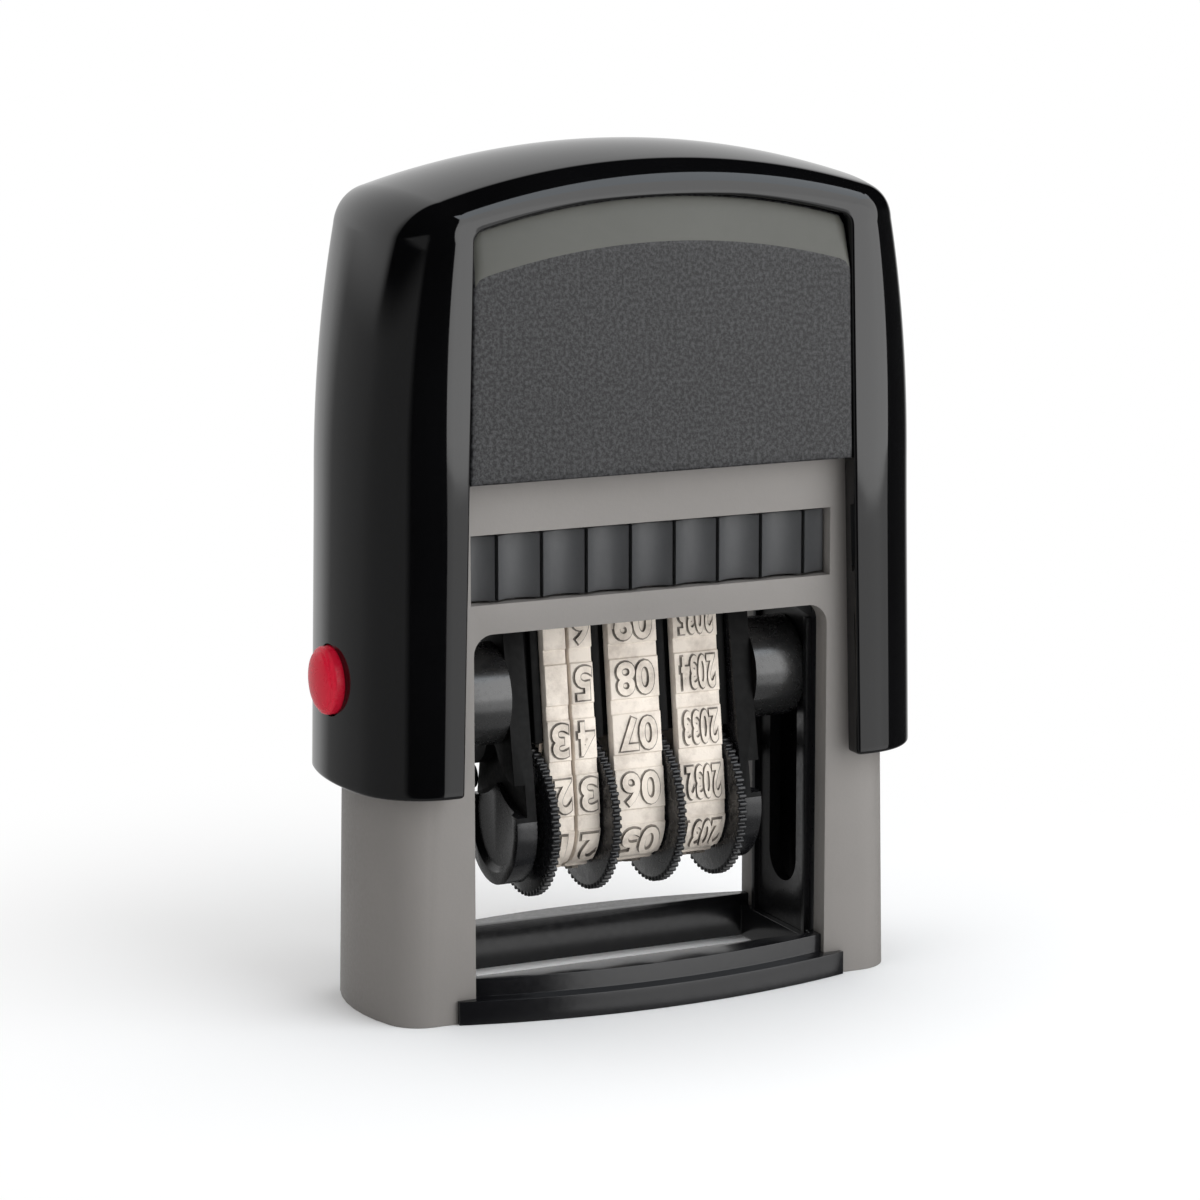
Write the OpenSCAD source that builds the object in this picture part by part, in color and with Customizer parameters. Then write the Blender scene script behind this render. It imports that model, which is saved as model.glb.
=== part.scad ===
// Self-inking date stamp: a pressed cap turns a date carriage from its ink pad onto the paper.
// Millimetres. +Z is up, the front is -Y, and the origin is the middle of the base.

/* [Stroke] */
// height of the whole stamp at rest
overall_h = 75.7; // [73:0.1:80]
// how far the cap is pressed down
travel = 17.8; // [16.5:0.1:18.2]
// distance from the carriage pivot to the date face
print_h = 9.4; // [9.2:0.1:9.7]
// gap left between the date face and the paper plane when pressed
paper_gap = 0.1; // [0.05:0.05:0.3]
// gap between the date face and the ink pad at rest
pad_gap = 0.3; // [0.2:0.1:0.5]

/* [Cap] */
// half-width of the cap at the foot of its legs
cap_half_w = 27.45; // [27:0.05:29]
// half-depth of the cap
cap_half_d = 10.73; // [10.6:0.05:11.5]
// height of the legs' feet above the table at rest
cap_foot_z = 20.7; // [20.7:0.1:23]
// draft of the cap and housing sides, in degrees
side_draft = 1.15; // [0.8:0.05:1.4]
// wall of the cap
cap_wall = 1.8; // [1.5:0.1:1.9]
// height at which the legs' straight sides turn into the flanks
flank_z = 47; // [45:0.5:52]
// radius of the flanks in the front view
flank_r = 113; // [100:1:140]
// radius of the arched top in the front view
arch_r = 68; // [64:1:80]
// radius of the shoulders in the front view
shoulder_r = 5; // [4:0.5:6]
// radius of the bulged sides in plan
cap_bulge_r = 23.6; // [21:0.1:30]
// radius of the upright edges in plan
cap_edge_r = 6.7; // [5.5:0.1:7]
// radius of the crown across the top
top_crown_r = 38; // [30:1:90]
// radius of the top's front and rear edges
top_edge_r = 3; // [2.2:0.1:3.2]

/* [Label plates] */
// width of the cap's legs beside the front and rear openings
cap_leg_w = 8.35; // [8.1:0.05:8.4]
// flare of the openings' sides, in degrees
open_flare = 1.46; // [1:0.05:2]
// radius of the openings' upper corners
open_corner_r = 1.2; // [1:0.1:3]
// width of the cap's border above a label plate
top_border = 4; // [3.2:0.1:4.4]
// height of the plates' lower edge
label_z = 47.7; // [47:0.1:48.4]
// how far a plate is set back from the cap's face
label_setback = 0.4; // [0.2:0.1:0.7]
// how far a plate's rim reaches behind the opening's edge
label_rim = 1; // [0.6:0.1:1.2]
// thickness of that rim
label_rim_t = 0.4; // [0.3:0.05:0.45]
// how far the rim reaches behind the opening's arched edge
label_top_rim = 0.15; // [0.1:0.01:0.2]
// clearance of a plate in its opening
label_gap = 0.05; // [0.03:0.01:0.1]

/* [Housing] */
// room between the housing's sides and the cap's wall when pressed
cap_gap = 0.3; // [0.2:0.05:0.5]
// half-depth of the housing
housing_half_d = 8.2; // [8:0.05:8.3]
// height of the housing
housing_h = 48.5; // [48:0.1:50]
// radius of the housing's bulged sides in plan
housing_bulge_r = 17.4; // [16:0.1:19]
// radius of its upright edges in plan
housing_edge_r = 3.4; // [3:0.1:4]
// thickness of the front and rear walls
face_wall = 2; // [1.7:0.1:2.2]
// thickness of the legs' outer walls
leg_wall = 1.6; // [1.3:0.1:1.8]
// width of the housing's legs beside the date window
leg_face_w = 8.21; // [8:0.01:8.3]
// height of the date window
window_h = 34.3; // [33.6:0.1:34.6]
// corner radius of the date window
window_r = 1.8; // [1:0.1:3]
// thickness of the roof over the ink tray
roof_t = 2; // [1.6:0.1:2.4]
// radius of the spring's centre post
post_r = 3.2; // [2.5:0.1:3.4]
// height of that post
post_h = 4.5; // [3:0.1:5]

/* [Ink cartridge] */
// how far the ink tray's ends reach past the date window
tray_over = 0.06; // [0:0.02:0.2]
// height of the ink tray
tray_h = 5.7; // [5.2:0.1:5.8]
// half-depth of the ink tray
tray_half_d = 8; // [7.6:0.1:8.1]
// running clearance all round the tray
tray_gap = 0.2; // [0.1:0.05:0.3]
// half-width of the opening that the date face passes through
floor_half_w = 12.6; // [12.4:0.1:13.5]
// height of the felt pad
pad_h = 3; // [2:0.1:3.5]
// wall left in front of and behind the pad
tray_wall = 1.4; // [1.3:0.1:2]
// number of full flutes across the tray's front
flute_count = 7; // [5:2:9]
// width of one flute
flute_pitch = 4.24; // [4:0.02:4.8]
// depth of a flute
flute_depth = 0.8; // [0.5:0.05:1]

/* [Base ring] */
// how far the bowed bars reach past the date window
bar_over = 1.76; // [1.3:0.02:1.8]
// how far the bars bow out at the middle
bar_bow = 2.7; // [2:0.1:3.2]
// depth of the bars in front of the housing at their ends
bar_lip = 0.5; // [0.3:0.1:0.8]
// height of the outer edge of both bars
bar_edge_h = 2.1; // [1.6:0.1:2.2]
// height of the front bar
front_bar_h = 2.9; // [2.5:0.1:3.2]
// height of the rear bar
rear_bar_h = 4; // [3:0.1:4.2]
// width of the step on top of the bars
bar_step = 1.5; // [1:0.1:2]
// half-depth of the ring's opening
ring_half_d = 6.8; // [6.5:0.1:7]
// width of the ring beside its opening, inside the date window
ring_side = 0.74; // [0.6:0.02:1.2]
// overlap of the bars with the plugs
bar_join = 1; // [0.6:0.1:1.4]
// height of the plugs in the legs
plug_h = 3; // [2.5:0.1:3.2]
// how far the plugs stay off the legs' outer walls
plug_corner = 2.6; // [2.6:0.1:3.5]

/* [Carriage] */
// radius of the pivot pins
pin_r = 2.4; // [2:0.1:2.6]
// radius of the pivot bosses
boss_r = 4.6; // [4:0.1:4.7]
// running clearance of the pins in the yoke and of the wheels on their axle
run_gap = 0.05; // [0.03:0.01:0.08]
// distance from the pivot down to the wheel axle
axle_drop = 11.7; // [11.4:0.1:11.9]
// radius of the wheel axle
axle_r = 1; // [0.8:0.1:1.2]
// half the room between the side plates
stack_half_w = 10.1; // [10.1:0.05:10.4]
// thickness of the side plates
plate_t = 1.9; // [1.7:0.1:2.2]
// radius of the side plates' lower end
plate_r = 5.7; // [5.2:0.1:6]
// radius of the dish in the side plates' lower end
dish_r = 4.6; // [4:0.1:4.8]
// depth of that dish
dish_depth = 0.5; // [0.3:0.05:0.6]
// depth of the axle's seats in the side plates
axle_seat = 1; // [0.8:0.05:1.2]
// depth of the turning groove in the side plates
groove_depth = 1; // [0.6:0.1:1.1]
// radius of the fixed pegs that turn the carriage
peg_r = 1.1; // [0.9:0.1:1.1]
// how far the pegs stand behind the pivot's path
peg_y = 5.9; // [5.9:0.05:6]
// clearance of a peg in its groove
peg_gap = 0.3; // [0.25:0.05:0.4]
// clearance of the pivot pins in the guide slots
slot_gap = 0.2; // [0.15:0.05:0.3]
// thickness of the guide inserts
insert_t = 1.06; // [0.9:0.02:1.2]
// height of the upright ribs on the guide inserts
rib_h = 0.5; // [0.3:0.1:0.6]
// width of those ribs
rib_w = 0.6; // [0.4:0.1:0.8]
// room between the pivot bosses and those ribs
rib_gap = 0.05; // [0.05:0.05:0.2]
// room between a peg's tip and the bottom of its groove
peg_tip_gap = 0.2; // [0.1:0.05:0.3]
// length of the collar that spaces the first wheel
collar_l = 0.7; // [0.5:0.05:0.9]

/* [Date bands] */
// number of characters round each band
type_count = 12; // [12:1:12]
// height of the raised type
type_h = 0.4; // [0.3:0.05:0.5]
// length of one raised block along the band
type_l = 3.2; // [2.6:0.1:3.6]
// thickness of a band
band_t = 0.9; // [0.7:0.05:1]
// radius of the wheel hubs that the bands run on
hub_r = 3.65; // [3.4:0.05:3.8]
// half the flat width of the platen's nose
nose_flat = 0.8; // [0.7:0.05:1]
// radius of the platen's nose edges
nose_r = 0.5; // [0.4:0.05:0.6]
// room round the platen's core, inside the bands and above the wheels
core_gap = 0.3; // [0.2:0.05:0.4]
// how far the fins between the bands stay below the bands' face
fin_drop = 0.5; // [0.3:0.05:0.8]
// width of each day band
day_band_w = 2.2; // [2:0.05:2.25]
// width of the month band
month_band_w = 4.8; // [4.6:0.05:4.9]
// width of the year band
year_band_w = 4.4; // [4.2:0.05:4.5]
// extra room on the left of the month and year bands
band_lead = 0.4; // [0.2:0.05:0.5]
// gap between neighbouring bands and discs
stack_gap = 0.2; // [0.15:0.01:0.22]

/* [Setting wheels] */
// outer radius of the toothed discs
disc_r = 7.05; // [6.6:0.05:7.1]
// thickness of the toothed discs
disc_t = 0.8; // [0.7:0.05:0.85]
// number of teeth on a disc
tooth_count = 60; // [40:1:72]
// depth of the teeth
tooth_depth = 0.35; // [0.25:0.05:0.45]

/* [Yoke and spring] */
// thickness of the yoke's arms
arm_t = 3; // [2.6:0.1:3]
// half-depth of the yoke's arms
arm_half_d = 3.4; // [3.2:0.1:3.6]
// room left round the yoke's arms
arm_gap = 0.4; // [0.3:0.05:0.5]
// thickness of the yoke's beam
beam_t = 2; // [1.6:0.1:2.2]
// distance from the top of the stamp down to the beam's underside
beam_drop = 6; // [5.8:0.1:6.5]
// room between the yoke's corners and the housing's top when pressed
stop_gap = 0.3; // [0.2:0.05:0.5]
// radius of the cap's posts on the yoke
cap_post_r = 2.2; // [1.8:0.1:2.6]
// distance of those posts from the middle
cap_post_x = 8; // [6:0.5:10]
// mean radius of the return spring
spring_r = 4.4; // [4.2:0.1:5]
// wire diameter of the return spring
wire_d = 0.8; // [0.6:0.05:0.85]
// number of turns of the return spring
spring_turns = 6; // [4:0.5:6]

/* [Lock buttons] */
// radius of the lock buttons
button_r = 3; // [2.5:0.1:3.4]
// height of the buttons' centres at rest
button_z = 29.8; // [28:0.1:32]
// how far a button stands out of the cap
button_out = 1.35; // [0.8:0.05:1.5]
// width of the rim that keeps a button in the cap
button_rim = 0.7; // [0.5:0.1:0.9]
// thickness of that rim
button_rim_t = 0.5; // [0.4:0.05:0.6]
// how far a button is pushed in
button_travel = 0.5; // [0.3:0.05:0.5]
// clearance of a button in the cap
button_gap = 0.1; // [0.08:0.01:0.15]

/* [Hidden] */
$fn = 64;
eps = 0.01;
far = 60;

// Widths that follow from the cap.
open_half_w = cap_half_w - cap_leg_w;
housing_half_w = cap_half_w - cap_wall - cap_gap;
window_half_w = housing_half_w - leg_face_w;
tray_half_w = window_half_w + tray_over;
bar_half_l = window_half_w + bar_over;
ring_half_w = window_half_w - ring_side;

// Heights that follow from the stroke.
pivot_z = travel + print_h + paper_gap;
pad_z = pivot_z + print_h + pad_gap;
tray_z = pad_z + paper_gap;
tunnel_z0 = tray_z - tray_gap;
tunnel_z1 = tray_z + tray_h + tray_gap;
deck_z = min(tunnel_z1 + roof_t, housing_h);
beam_z = overall_h - beam_drop;
tunnel_half_w = tray_half_w + tray_gap;
cavity_half_d = housing_half_d - face_wall;
insert_x1 = window_half_w + insert_t;
arm_x0 = insert_x1 + arm_gap;
arm_x1 = arm_x0 + arm_t;

// Places along the wheel axle, from the left side plate to the right one.
tens_disc_x = -stack_half_w + stack_gap + collar_l;
tens_band_x = tens_disc_x + disc_t + stack_gap;
units_band_x = tens_band_x + day_band_w + 1.5 * stack_gap;
units_disc_x = units_band_x + day_band_w + stack_gap;
month_band_x = units_disc_x + disc_t + stack_gap + band_lead;
month_disc_x = month_band_x + month_band_w + stack_gap;
year_band_x = month_disc_x + disc_t + stack_gap + band_lead;
year_disc_x = year_band_x + year_band_w + stack_gap;

// Half-widths of the cap and the housing at a height, at rest.
function cap_x(z) = cap_half_w - tan(side_draft) * (z - cap_foot_z);
function open_x(z) = open_half_w - tan(open_flare) * (z - cap_foot_z);

// The cap's front view: a leg line, a flank arc, a shoulder arc and the arched top, each tangent to the next.
arch_z = overall_h - arch_r;
flank_c = [cap_x(flank_z), flank_z] - flank_r * [cos(side_draft), sin(side_draft)];
// The shoulder's centre is where the circles at these distances round the flank's and the arch's centres cross.
flank_d = flank_r - shoulder_r;
arch_d = arch_r - shoulder_r;
apart = [0, arch_z] - flank_c;
apart_u = apart / norm(apart);
cross_l = (flank_d * flank_d - arch_d * arch_d + apart * apart) / (2 * norm(apart));
cross_h = sqrt(flank_d * flank_d - cross_l * cross_l);
shoulder_c = flank_c + cross_l * apart_u + cross_h * [-apart_u[1], apart_u[0]];
flank_end = atan2(shoulder_c[1] - flank_c[1], shoulder_c[0] - flank_c[0]);
shoulder_end = atan2(shoulder_c[1] - arch_z, shoulder_c[0]);
function flank_x(z) = flank_c[0] + sqrt(flank_r * flank_r - pow(z - flank_c[1], 2));

// The opening's front view: a flared side, a small corner and an arch that is parallel to the top.
open_arch_r = arch_r - top_border;
open_k = open_half_w * cos(open_flare) + cap_foot_z * sin(open_flare) - open_corner_r;
open_m = arch_z * cos(open_flare)
       + sqrt(pow(open_arch_r - open_corner_r, 2) - pow(open_k - arch_z * sin(open_flare), 2));
open_c = [open_k * cos(open_flare) - open_m * sin(open_flare),
          open_k * sin(open_flare) + open_m * cos(open_flare)];
open_end = atan2(open_c[1] - arch_z, open_c[0]);

function on_arc(c, r, a) = [c[0] + r * cos(a), c[1] + r * sin(a)];

// Stations of the cap along the right half of the arch, from the foot to the top's middle.
leg_steps = 4;
flank_steps = 5;
shoulder_steps = 5;
top_steps = 5;
function steps(a, b, n) = [for (i = [0:n - 1]) a + (b - a) * i / n];
half_outer = concat(
    [for (z = steps(cap_foot_z, flank_z, leg_steps)) [cap_x(z), z]],
    [for (a = steps(side_draft, flank_end, flank_steps)) on_arc(flank_c, flank_r, a)],
    [for (a = steps(flank_end, shoulder_end, shoulder_steps)) on_arc(shoulder_c, shoulder_r, a)],
    [for (a = steps(shoulder_end, 90, top_steps)) on_arc([0, arch_z], arch_r, a)],
    [[0, overall_h]]);
// On the opening, the leg's and the flank's stations share its side in the same proportion.
side_top_z = on_arc(flank_c, flank_r, flank_end)[1];
open_top_z = on_arc(open_c, open_corner_r, open_flare)[1];
open_share = (open_top_z - cap_foot_z) / (side_top_z - cap_foot_z);
half_inner = concat(
    [for (i = [0:leg_steps + flank_steps - 1])
        let (z = cap_foot_z + (half_outer[i][1] - cap_foot_z) * open_share) [open_x(z), z]],
    [for (a = steps(open_flare, open_end, shoulder_steps)) on_arc(open_c, open_corner_r, a)],
    [for (a = steps(open_end, 90, top_steps)) on_arc([0, arch_z], open_arch_r, a)],
    [[0, overall_h - top_border]]);
half_count = len(half_outer);
station_count = 2 * half_count - 1;

// Share of the top's section at a station: none on the lower legs, all on the top.
blend_from = leg_steps - 1;
blend_to = leg_steps + flank_steps + shoulder_steps;
function smooth(t) = let (u = max(0, min(1, t))) u * u * (3 - 2 * u);
function top_share(i) = smooth((i - blend_from) / (blend_to - blend_from));

// One quarter of a station's section: depths from the outer outline and places across the cap.
bulge_steps = 3;
edge_steps = 6;
function section(crown_r, edge_r, half_d, inset) =
    let (dy = half_d - edge_r, dx = sqrt(pow(crown_r - edge_r, 2) - dy * dy), end = atan2(dy, dx))
    concat(
        [for (i = [0:bulge_steps - 1]) let (a = end * i / bulge_steps)
            [inset + crown_r - crown_r * cos(a), crown_r * sin(a)]],
        [for (i = [0:edge_steps]) let (a = end + (90 - end) * i / edge_steps)
            [inset + crown_r - dx - edge_r * cos(a), dy + edge_r * sin(a)]]);

// The closed section of the shell at station i of the half arch, as depths and places across.
function wall_section(i) =
    let (s = top_share(i),
         crown_r = cap_bulge_r + (top_crown_r - cap_bulge_r) * s,
         edge_r = cap_edge_r + (top_edge_r - cap_edge_r) * s,
         width = norm(half_outer[i] - half_inner[i]),
         out = section(crown_r, edge_r, cap_half_d, 0),
         in = section(crown_r - cap_wall, edge_r - cap_wall, cap_half_d - cap_wall, cap_wall),
         front = concat(out, [[width, cap_half_d], [width, cap_half_d - cap_wall]],
                        [for (k = [len(in) - 1:-1:0]) in[k]]))
    concat(front, [for (k = [len(front) - 2:-1:1]) [front[k][0], -front[k][1]]]);

function mirror_x(p) = [-p[0], p[1]];
function station(j) =
    let (i = j < half_count ? j : station_count - 1 - j,
         side = j < half_count ? 1 : -1,
         a = half_outer[i], b = half_inner[i], w = norm(b - a))
    [for (q = wall_section(i)) let (p = a + (b - a) * min(q[0], w) / w) [side * p[0], q[1], p[1]]];

// A closed skin over a row of equal sections.
module skin(rows) {
    n = len(rows[0]);
    last = (len(rows) - 1) * n;
    polyhedron(
        points = [for (row = rows) each row],
        faces = concat(
            [[for (k = [0:n - 1]) k]],
            [for (j = [0:len(rows) - 2], k = [0:n - 1]) let (m = (k + 1) % n)
                each [[j * n + k, (j + 1) * n + k, (j + 1) * n + m], [j * n + k, (j + 1) * n + m, j * n + m]]],
            [[for (k = [n - 1:-1:0]) last + k]]));
}

// A prism along X, Y or Z over a flat outline.
module along_x(x0, x1) { translate([x0, 0, 0]) rotate([90, 0, 90]) linear_extrude(x1 - x0) children(); }
module along_y(y0, y1) { translate([0, y1, 0]) rotate([90, 0, 0]) linear_extrude(y1 - y0) children(); }
module rod_x(x0, x1, r, y = 0, z = 0) {
    translate([x0, y, z]) rotate([0, 90, 0]) cylinder(h = x1 - x0, r = r);
}
module block(x0, x1, y0, y1, z0, z1) { translate([x0, y0, z0]) cube([x1 - x0, y1 - y0, z1 - z0]); }
module both_sides() { children(); mirror([1, 0, 0]) children(); }

// Places of a lock button along X, from its rim's inner face to its crown.
button_face_x = cap_x(button_z);
button_seat_x = button_face_x - cap_wall + button_rim_t + button_travel - 0.1;

module cap_shell() {
    color([0.02, 0.02, 0.025])
    difference() {
        union() {
            skin([for (j = [0:station_count - 1]) station(j)]);
            both_sides() translate([cap_post_x, 0, beam_z + beam_t])
                cylinder(h = overall_h - cap_wall / 2 - beam_z - beam_t
                             - arch_r + sqrt(arch_r * arch_r - cap_post_x * cap_post_x), r = cap_post_r);
        }
        both_sides() {
            rod_x(button_face_x - far / 4, button_face_x + far / 4, button_r + button_gap, 0, button_z);
            rod_x(button_face_x - far / 4, button_seat_x, button_r + button_rim + button_gap, 0, button_z);
        }
    }
}

// The right half of a label plate's outline, grown by a rim at its side and at its arch; its lower edge is at z0.
plate_steps = 8;
function half_plate(rim, top_rim, z0) = concat(
    [[open_x(z0) + rim, z0], [open_x(open_top_z) + rim, open_top_z]],
    [for (a = steps(open_flare, open_end, shoulder_steps)) on_arc(open_c, open_corner_r + top_rim, a)],
    [for (a = steps(open_end, 90, plate_steps)) on_arc([0, arch_z], open_arch_r + top_rim, a)]);
module plate_outline(rim, top_rim, z0) {
    half = half_plate(rim, top_rim, z0);
    polygon(concat(half, [[0, overall_h - top_border + top_rim]],
                   [for (k = [len(half) - 1:-1:0]) mirror_x(half[k])]));
}

module label_plate() {
    back = cap_half_d - cap_wall;
    color([0.2, 0.2, 0.21]) {
        along_y(-cap_half_d + label_setback, -back) plate_outline(-label_gap, -label_gap, label_z);
        along_y(-back, -back + label_rim_t) plate_outline(label_rim, label_top_rim, label_z);
    }
}

module front_label_plate() { label_plate(); }
module rear_label_plate() { mirror([0, 1, 0]) label_plate(); }

// A round button on the right, revolved about its axis: a rim, a stem and a crown that is an arc.
button_crown = 0.7;
crown_steps = 5;
module lock_button() {
    ball_r = (button_r * button_r + button_crown * button_crown) / (2 * button_crown);
    tip = button_face_x + button_out - button_seat_x;
    end = asin(button_r / ball_r);
    color([0.8, 0.08, 0.16]) translate([button_seat_x, 0, button_z]) rotate([0, 90, 0]) rotate_extrude()
        polygon(concat([[0, -button_rim_t], [button_r + button_rim, -button_rim_t], [button_r + button_rim, 0],
                        [button_r, 0]],
                       [for (i = [0:crown_steps]) let (a = end * (1 - i / crown_steps))
                           [ball_r * sin(a), tip - ball_r + ball_r * cos(a)]]));
}

module left_lock_button() { mirror([1, 0, 0]) lock_button(); }
module right_lock_button() { lock_button(); }

// The bow inside the cap: a beam under the roof and two arms with the pivots' bores.
arm_foot_z = pivot_z - pin_r - 1;
beam_slope_x = 5.6;
beam_slope_z = 4.5;
// The slope under the beam's ends clears the housing's top when pressed, and ends at the beam.
corner_z = min(housing_h + travel + stop_gap, beam_z - eps);
chamfer_z = max(beam_z + beam_t - beam_slope_z, corner_z);
corner_x = arm_x0 - (beam_z - corner_z) * beam_slope_x / beam_slope_z;
module drive_yoke() {
    color([0.08, 0.08, 0.085])
    difference() {
        along_y(-arm_half_d, arm_half_d)
            polygon([[-arm_x1, arm_foot_z], [-arm_x1, chamfer_z],
                     [-arm_x1 + beam_slope_x, beam_z + beam_t], [arm_x1 - beam_slope_x, beam_z + beam_t],
                     [arm_x1, chamfer_z], [arm_x1, arm_foot_z],
                     [arm_x0, arm_foot_z], [arm_x0, corner_z], [corner_x, beam_z],
                     [-corner_x, beam_z], [-arm_x0, corner_z], [-arm_x0, arm_foot_z]]);
        rod_x(-far, far, pin_r + run_gap, 0, pivot_z);
    }
}

// The return spring: one tube along a helix with a closing turn at each end.
spring_steps = 22;
spring_sides = 8;
spring_h = beam_z - deck_z;
spring_n = floor(spring_turns * spring_steps);
end_share = 1 / spring_turns;
function rise(t) = t < end_share ? t * wire_d * 1.6 / end_share / spring_h
                 : t > 1 - end_share ? 1 - (1 - t) * wire_d * 1.6 / end_share / spring_h
                 : wire_d * 1.6 / spring_h
                   + (t - end_share) / (1 - 2 * end_share) * (1 - 3.2 * wire_d / spring_h);
function spring_at(t) = [spring_r * cos(360 * spring_turns * t), spring_r * sin(360 * spring_turns * t),
                         deck_z + wire_d / 2 + rise(t) * (spring_h - wire_d)];
function spring_ring(t) = let (a = 360 * spring_turns * t, c = spring_at(t))
    [for (k = [0:spring_sides - 1]) let (b = 360 * k / spring_sides)
        c + wire_d / 2 * [cos(b) * cos(a), cos(b) * sin(a), -sin(b)]];
spring_gap = min([for (i = [0:spring_n - spring_steps])
    norm(spring_at((i + spring_steps) / spring_n) - spring_at(i / spring_n)) - wire_d]);
echo(least_spring_gap = spring_gap);
module return_spring() {
    color([0.6, 0.6, 0.62]) skin([for (i = [0:spring_n]) spring_ring(i / spring_n)]);
}

// The housing's plan, with bulged sides; its half-width shrinks with the draft towards the top.
function plan_quarter(half_w, half_d, bulge_r, edge_r) =
    [for (q = section(bulge_r, edge_r, half_d, 0)) [half_w - q[0], q[1]]];
function plan_points(half_w, half_d, bulge_r, edge_r) =
    let (q = plan_quarter(half_w, half_d, bulge_r, edge_r), n = len(q))
    concat(q, [for (k = [n - 1:-1:0]) [-q[k][0], q[k][1]]],
           [for (k = [1:n - 1]) [-q[k][0], -q[k][1]]], [for (k = [n - 1:-1:1]) [q[k][0], -q[k][1]]]);
// Above the cap's feet the housing narrows, so that its top clears the flanks when the cap is pressed.
housing_top_w = flank_x(housing_h + travel) - cap_wall - cap_gap;
function housing_x(z) = z <= cap_foot_z ? housing_half_w - tan(side_draft) * z
    : housing_x(cap_foot_z) + (housing_top_w - housing_x(cap_foot_z)) * (z - cap_foot_z) / (housing_h - cap_foot_z);
module drafted(inset, half_d, bulge_r, edge_r, h) {
    skin([for (z = [0, cap_foot_z, h])
        [for (p = plan_points(housing_x(z) - inset, half_d, bulge_r, edge_r)) [p[0], p[1], z]]]);
}

module housing() {
    color([0.6, 0.58, 0.56])
    difference() {
        drafted(0, housing_half_d, housing_bulge_r, housing_edge_r, housing_h);
        // the hollow of the legs, open towards the date window
        translate([0, 0, -eps])
            drafted(leg_wall, cavity_half_d, housing_bulge_r - leg_wall, housing_edge_r - leg_wall, window_h);
        // the date window, with rounded upper corners
        along_y(-far, far) {
            translate([-window_half_w, -eps]) square([2 * window_half_w, window_h - window_r + eps]);
            translate([-window_half_w + window_r, 0]) square([2 * (window_half_w - window_r), window_h]);
            for (s = [-1, 1]) translate([s * (window_half_w - window_r), window_h - window_r]) circle(r = window_r);
        }
        // the tunnel for the ink tray and the opening in its floor
        block(-tunnel_half_w, tunnel_half_w, -far, far, tunnel_z0, tunnel_z1);
        block(-floor_half_w, floor_half_w, -cavity_half_d, cavity_half_d, window_h - 1, tunnel_z1 - 1);
        // the well on top for the spring, and the channels for the yoke's arms
        block(-tunnel_half_w, tunnel_half_w, -cavity_half_d, cavity_half_d, deck_z, far);
        both_sides() block(arm_x0 - arm_gap, arm_x1 + arm_gap, -arm_half_d - arm_gap, arm_half_d + arm_gap,
                           window_h - 1, far);
    }
    color([0.6, 0.58, 0.56]) translate([0, 0, deck_z - eps]) cylinder(h = post_h, r = post_r);
}

// The liner of the right leg: a plate with the pivot's slot, upright ribs and the turning peg.
module guide_insert() {
    rib_y = boss_r + rib_gap + rib_w / 2;
    slot_r = pin_r + slot_gap;
    color([0.05, 0.05, 0.055]) {
        difference() {
            union() {
                block(window_half_w, insert_x1, -cavity_half_d, cavity_half_d, plug_h, window_h);
                for (s = [-1, 1])
                    block(window_half_w - rib_h, window_half_w + eps, s * rib_y - rib_w / 2, s * rib_y + rib_w / 2,
                          plug_h, window_h - window_r);
            }
            block(0, far, -slot_r, slot_r, pivot_z - travel, pivot_z);
            rod_x(0, far, slot_r, 0, pivot_z);
            rod_x(0, far, slot_r, 0, pivot_z - travel);
        }
        peg_x0 = stack_half_w + plate_t - groove_depth + peg_tip_gap;
        rod_x(peg_x0, window_half_w, peg_r, peg_y, pivot_z - travel / 2);
        // the peg's root stays inside the leg
        intersection() {
            rod_x(window_half_w - insert_t, insert_x1, peg_r, peg_y, pivot_z - travel / 2);
            block(0, far, -cavity_half_d, cavity_half_d, 0, far);
        }
    }
}

module left_guide_insert() { mirror([1, 0, 0]) guide_insert(); }
module right_guide_insert() { guide_insert(); }

// The foot ring: plugs in the legs, joined by a front and a rear bar that bow outwards.
module bowed_bar(h, inset) {
    end_d = housing_half_d + bar_lip;
    bow_r = (bar_half_l * bar_half_l + bar_bow * bar_bow) / (2 * bar_bow);
    linear_extrude(h) intersection() {
        translate([0, bow_r - end_d - bar_bow]) circle(r = bow_r - inset, $fn = 256);
        translate([-bar_half_l + inset, -far]) square([2 * (bar_half_l - inset), far - ring_half_d]);
    }
}

module base_bar(h) {
    difference() {
        union() {
            bowed_bar(bar_edge_h, 0);
            bowed_bar(h, bar_step);
        }
        // the bar's ends pass in front of the legs
        both_sides() block(window_half_w, far, -housing_half_d, 0, -1, far);
    }
}

module base_ring() {
    color([0.05, 0.05, 0.055]) {
        base_bar(front_bar_h);
        mirror([0, 1, 0]) base_bar(rear_bar_h);
        both_sides() {
            block(ring_half_w, housing_half_w - leg_wall - plug_corner, -cavity_half_d, cavity_half_d, 0, plug_h);
            for (s = [-1, 1]) block(ring_half_w, window_half_w,
                                    min(s * ring_half_d, s * (cavity_half_d - bar_join)),
                                    max(s * ring_half_d, s * (cavity_half_d - bar_join)), 0, front_bar_h);
        }
    }
}

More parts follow.
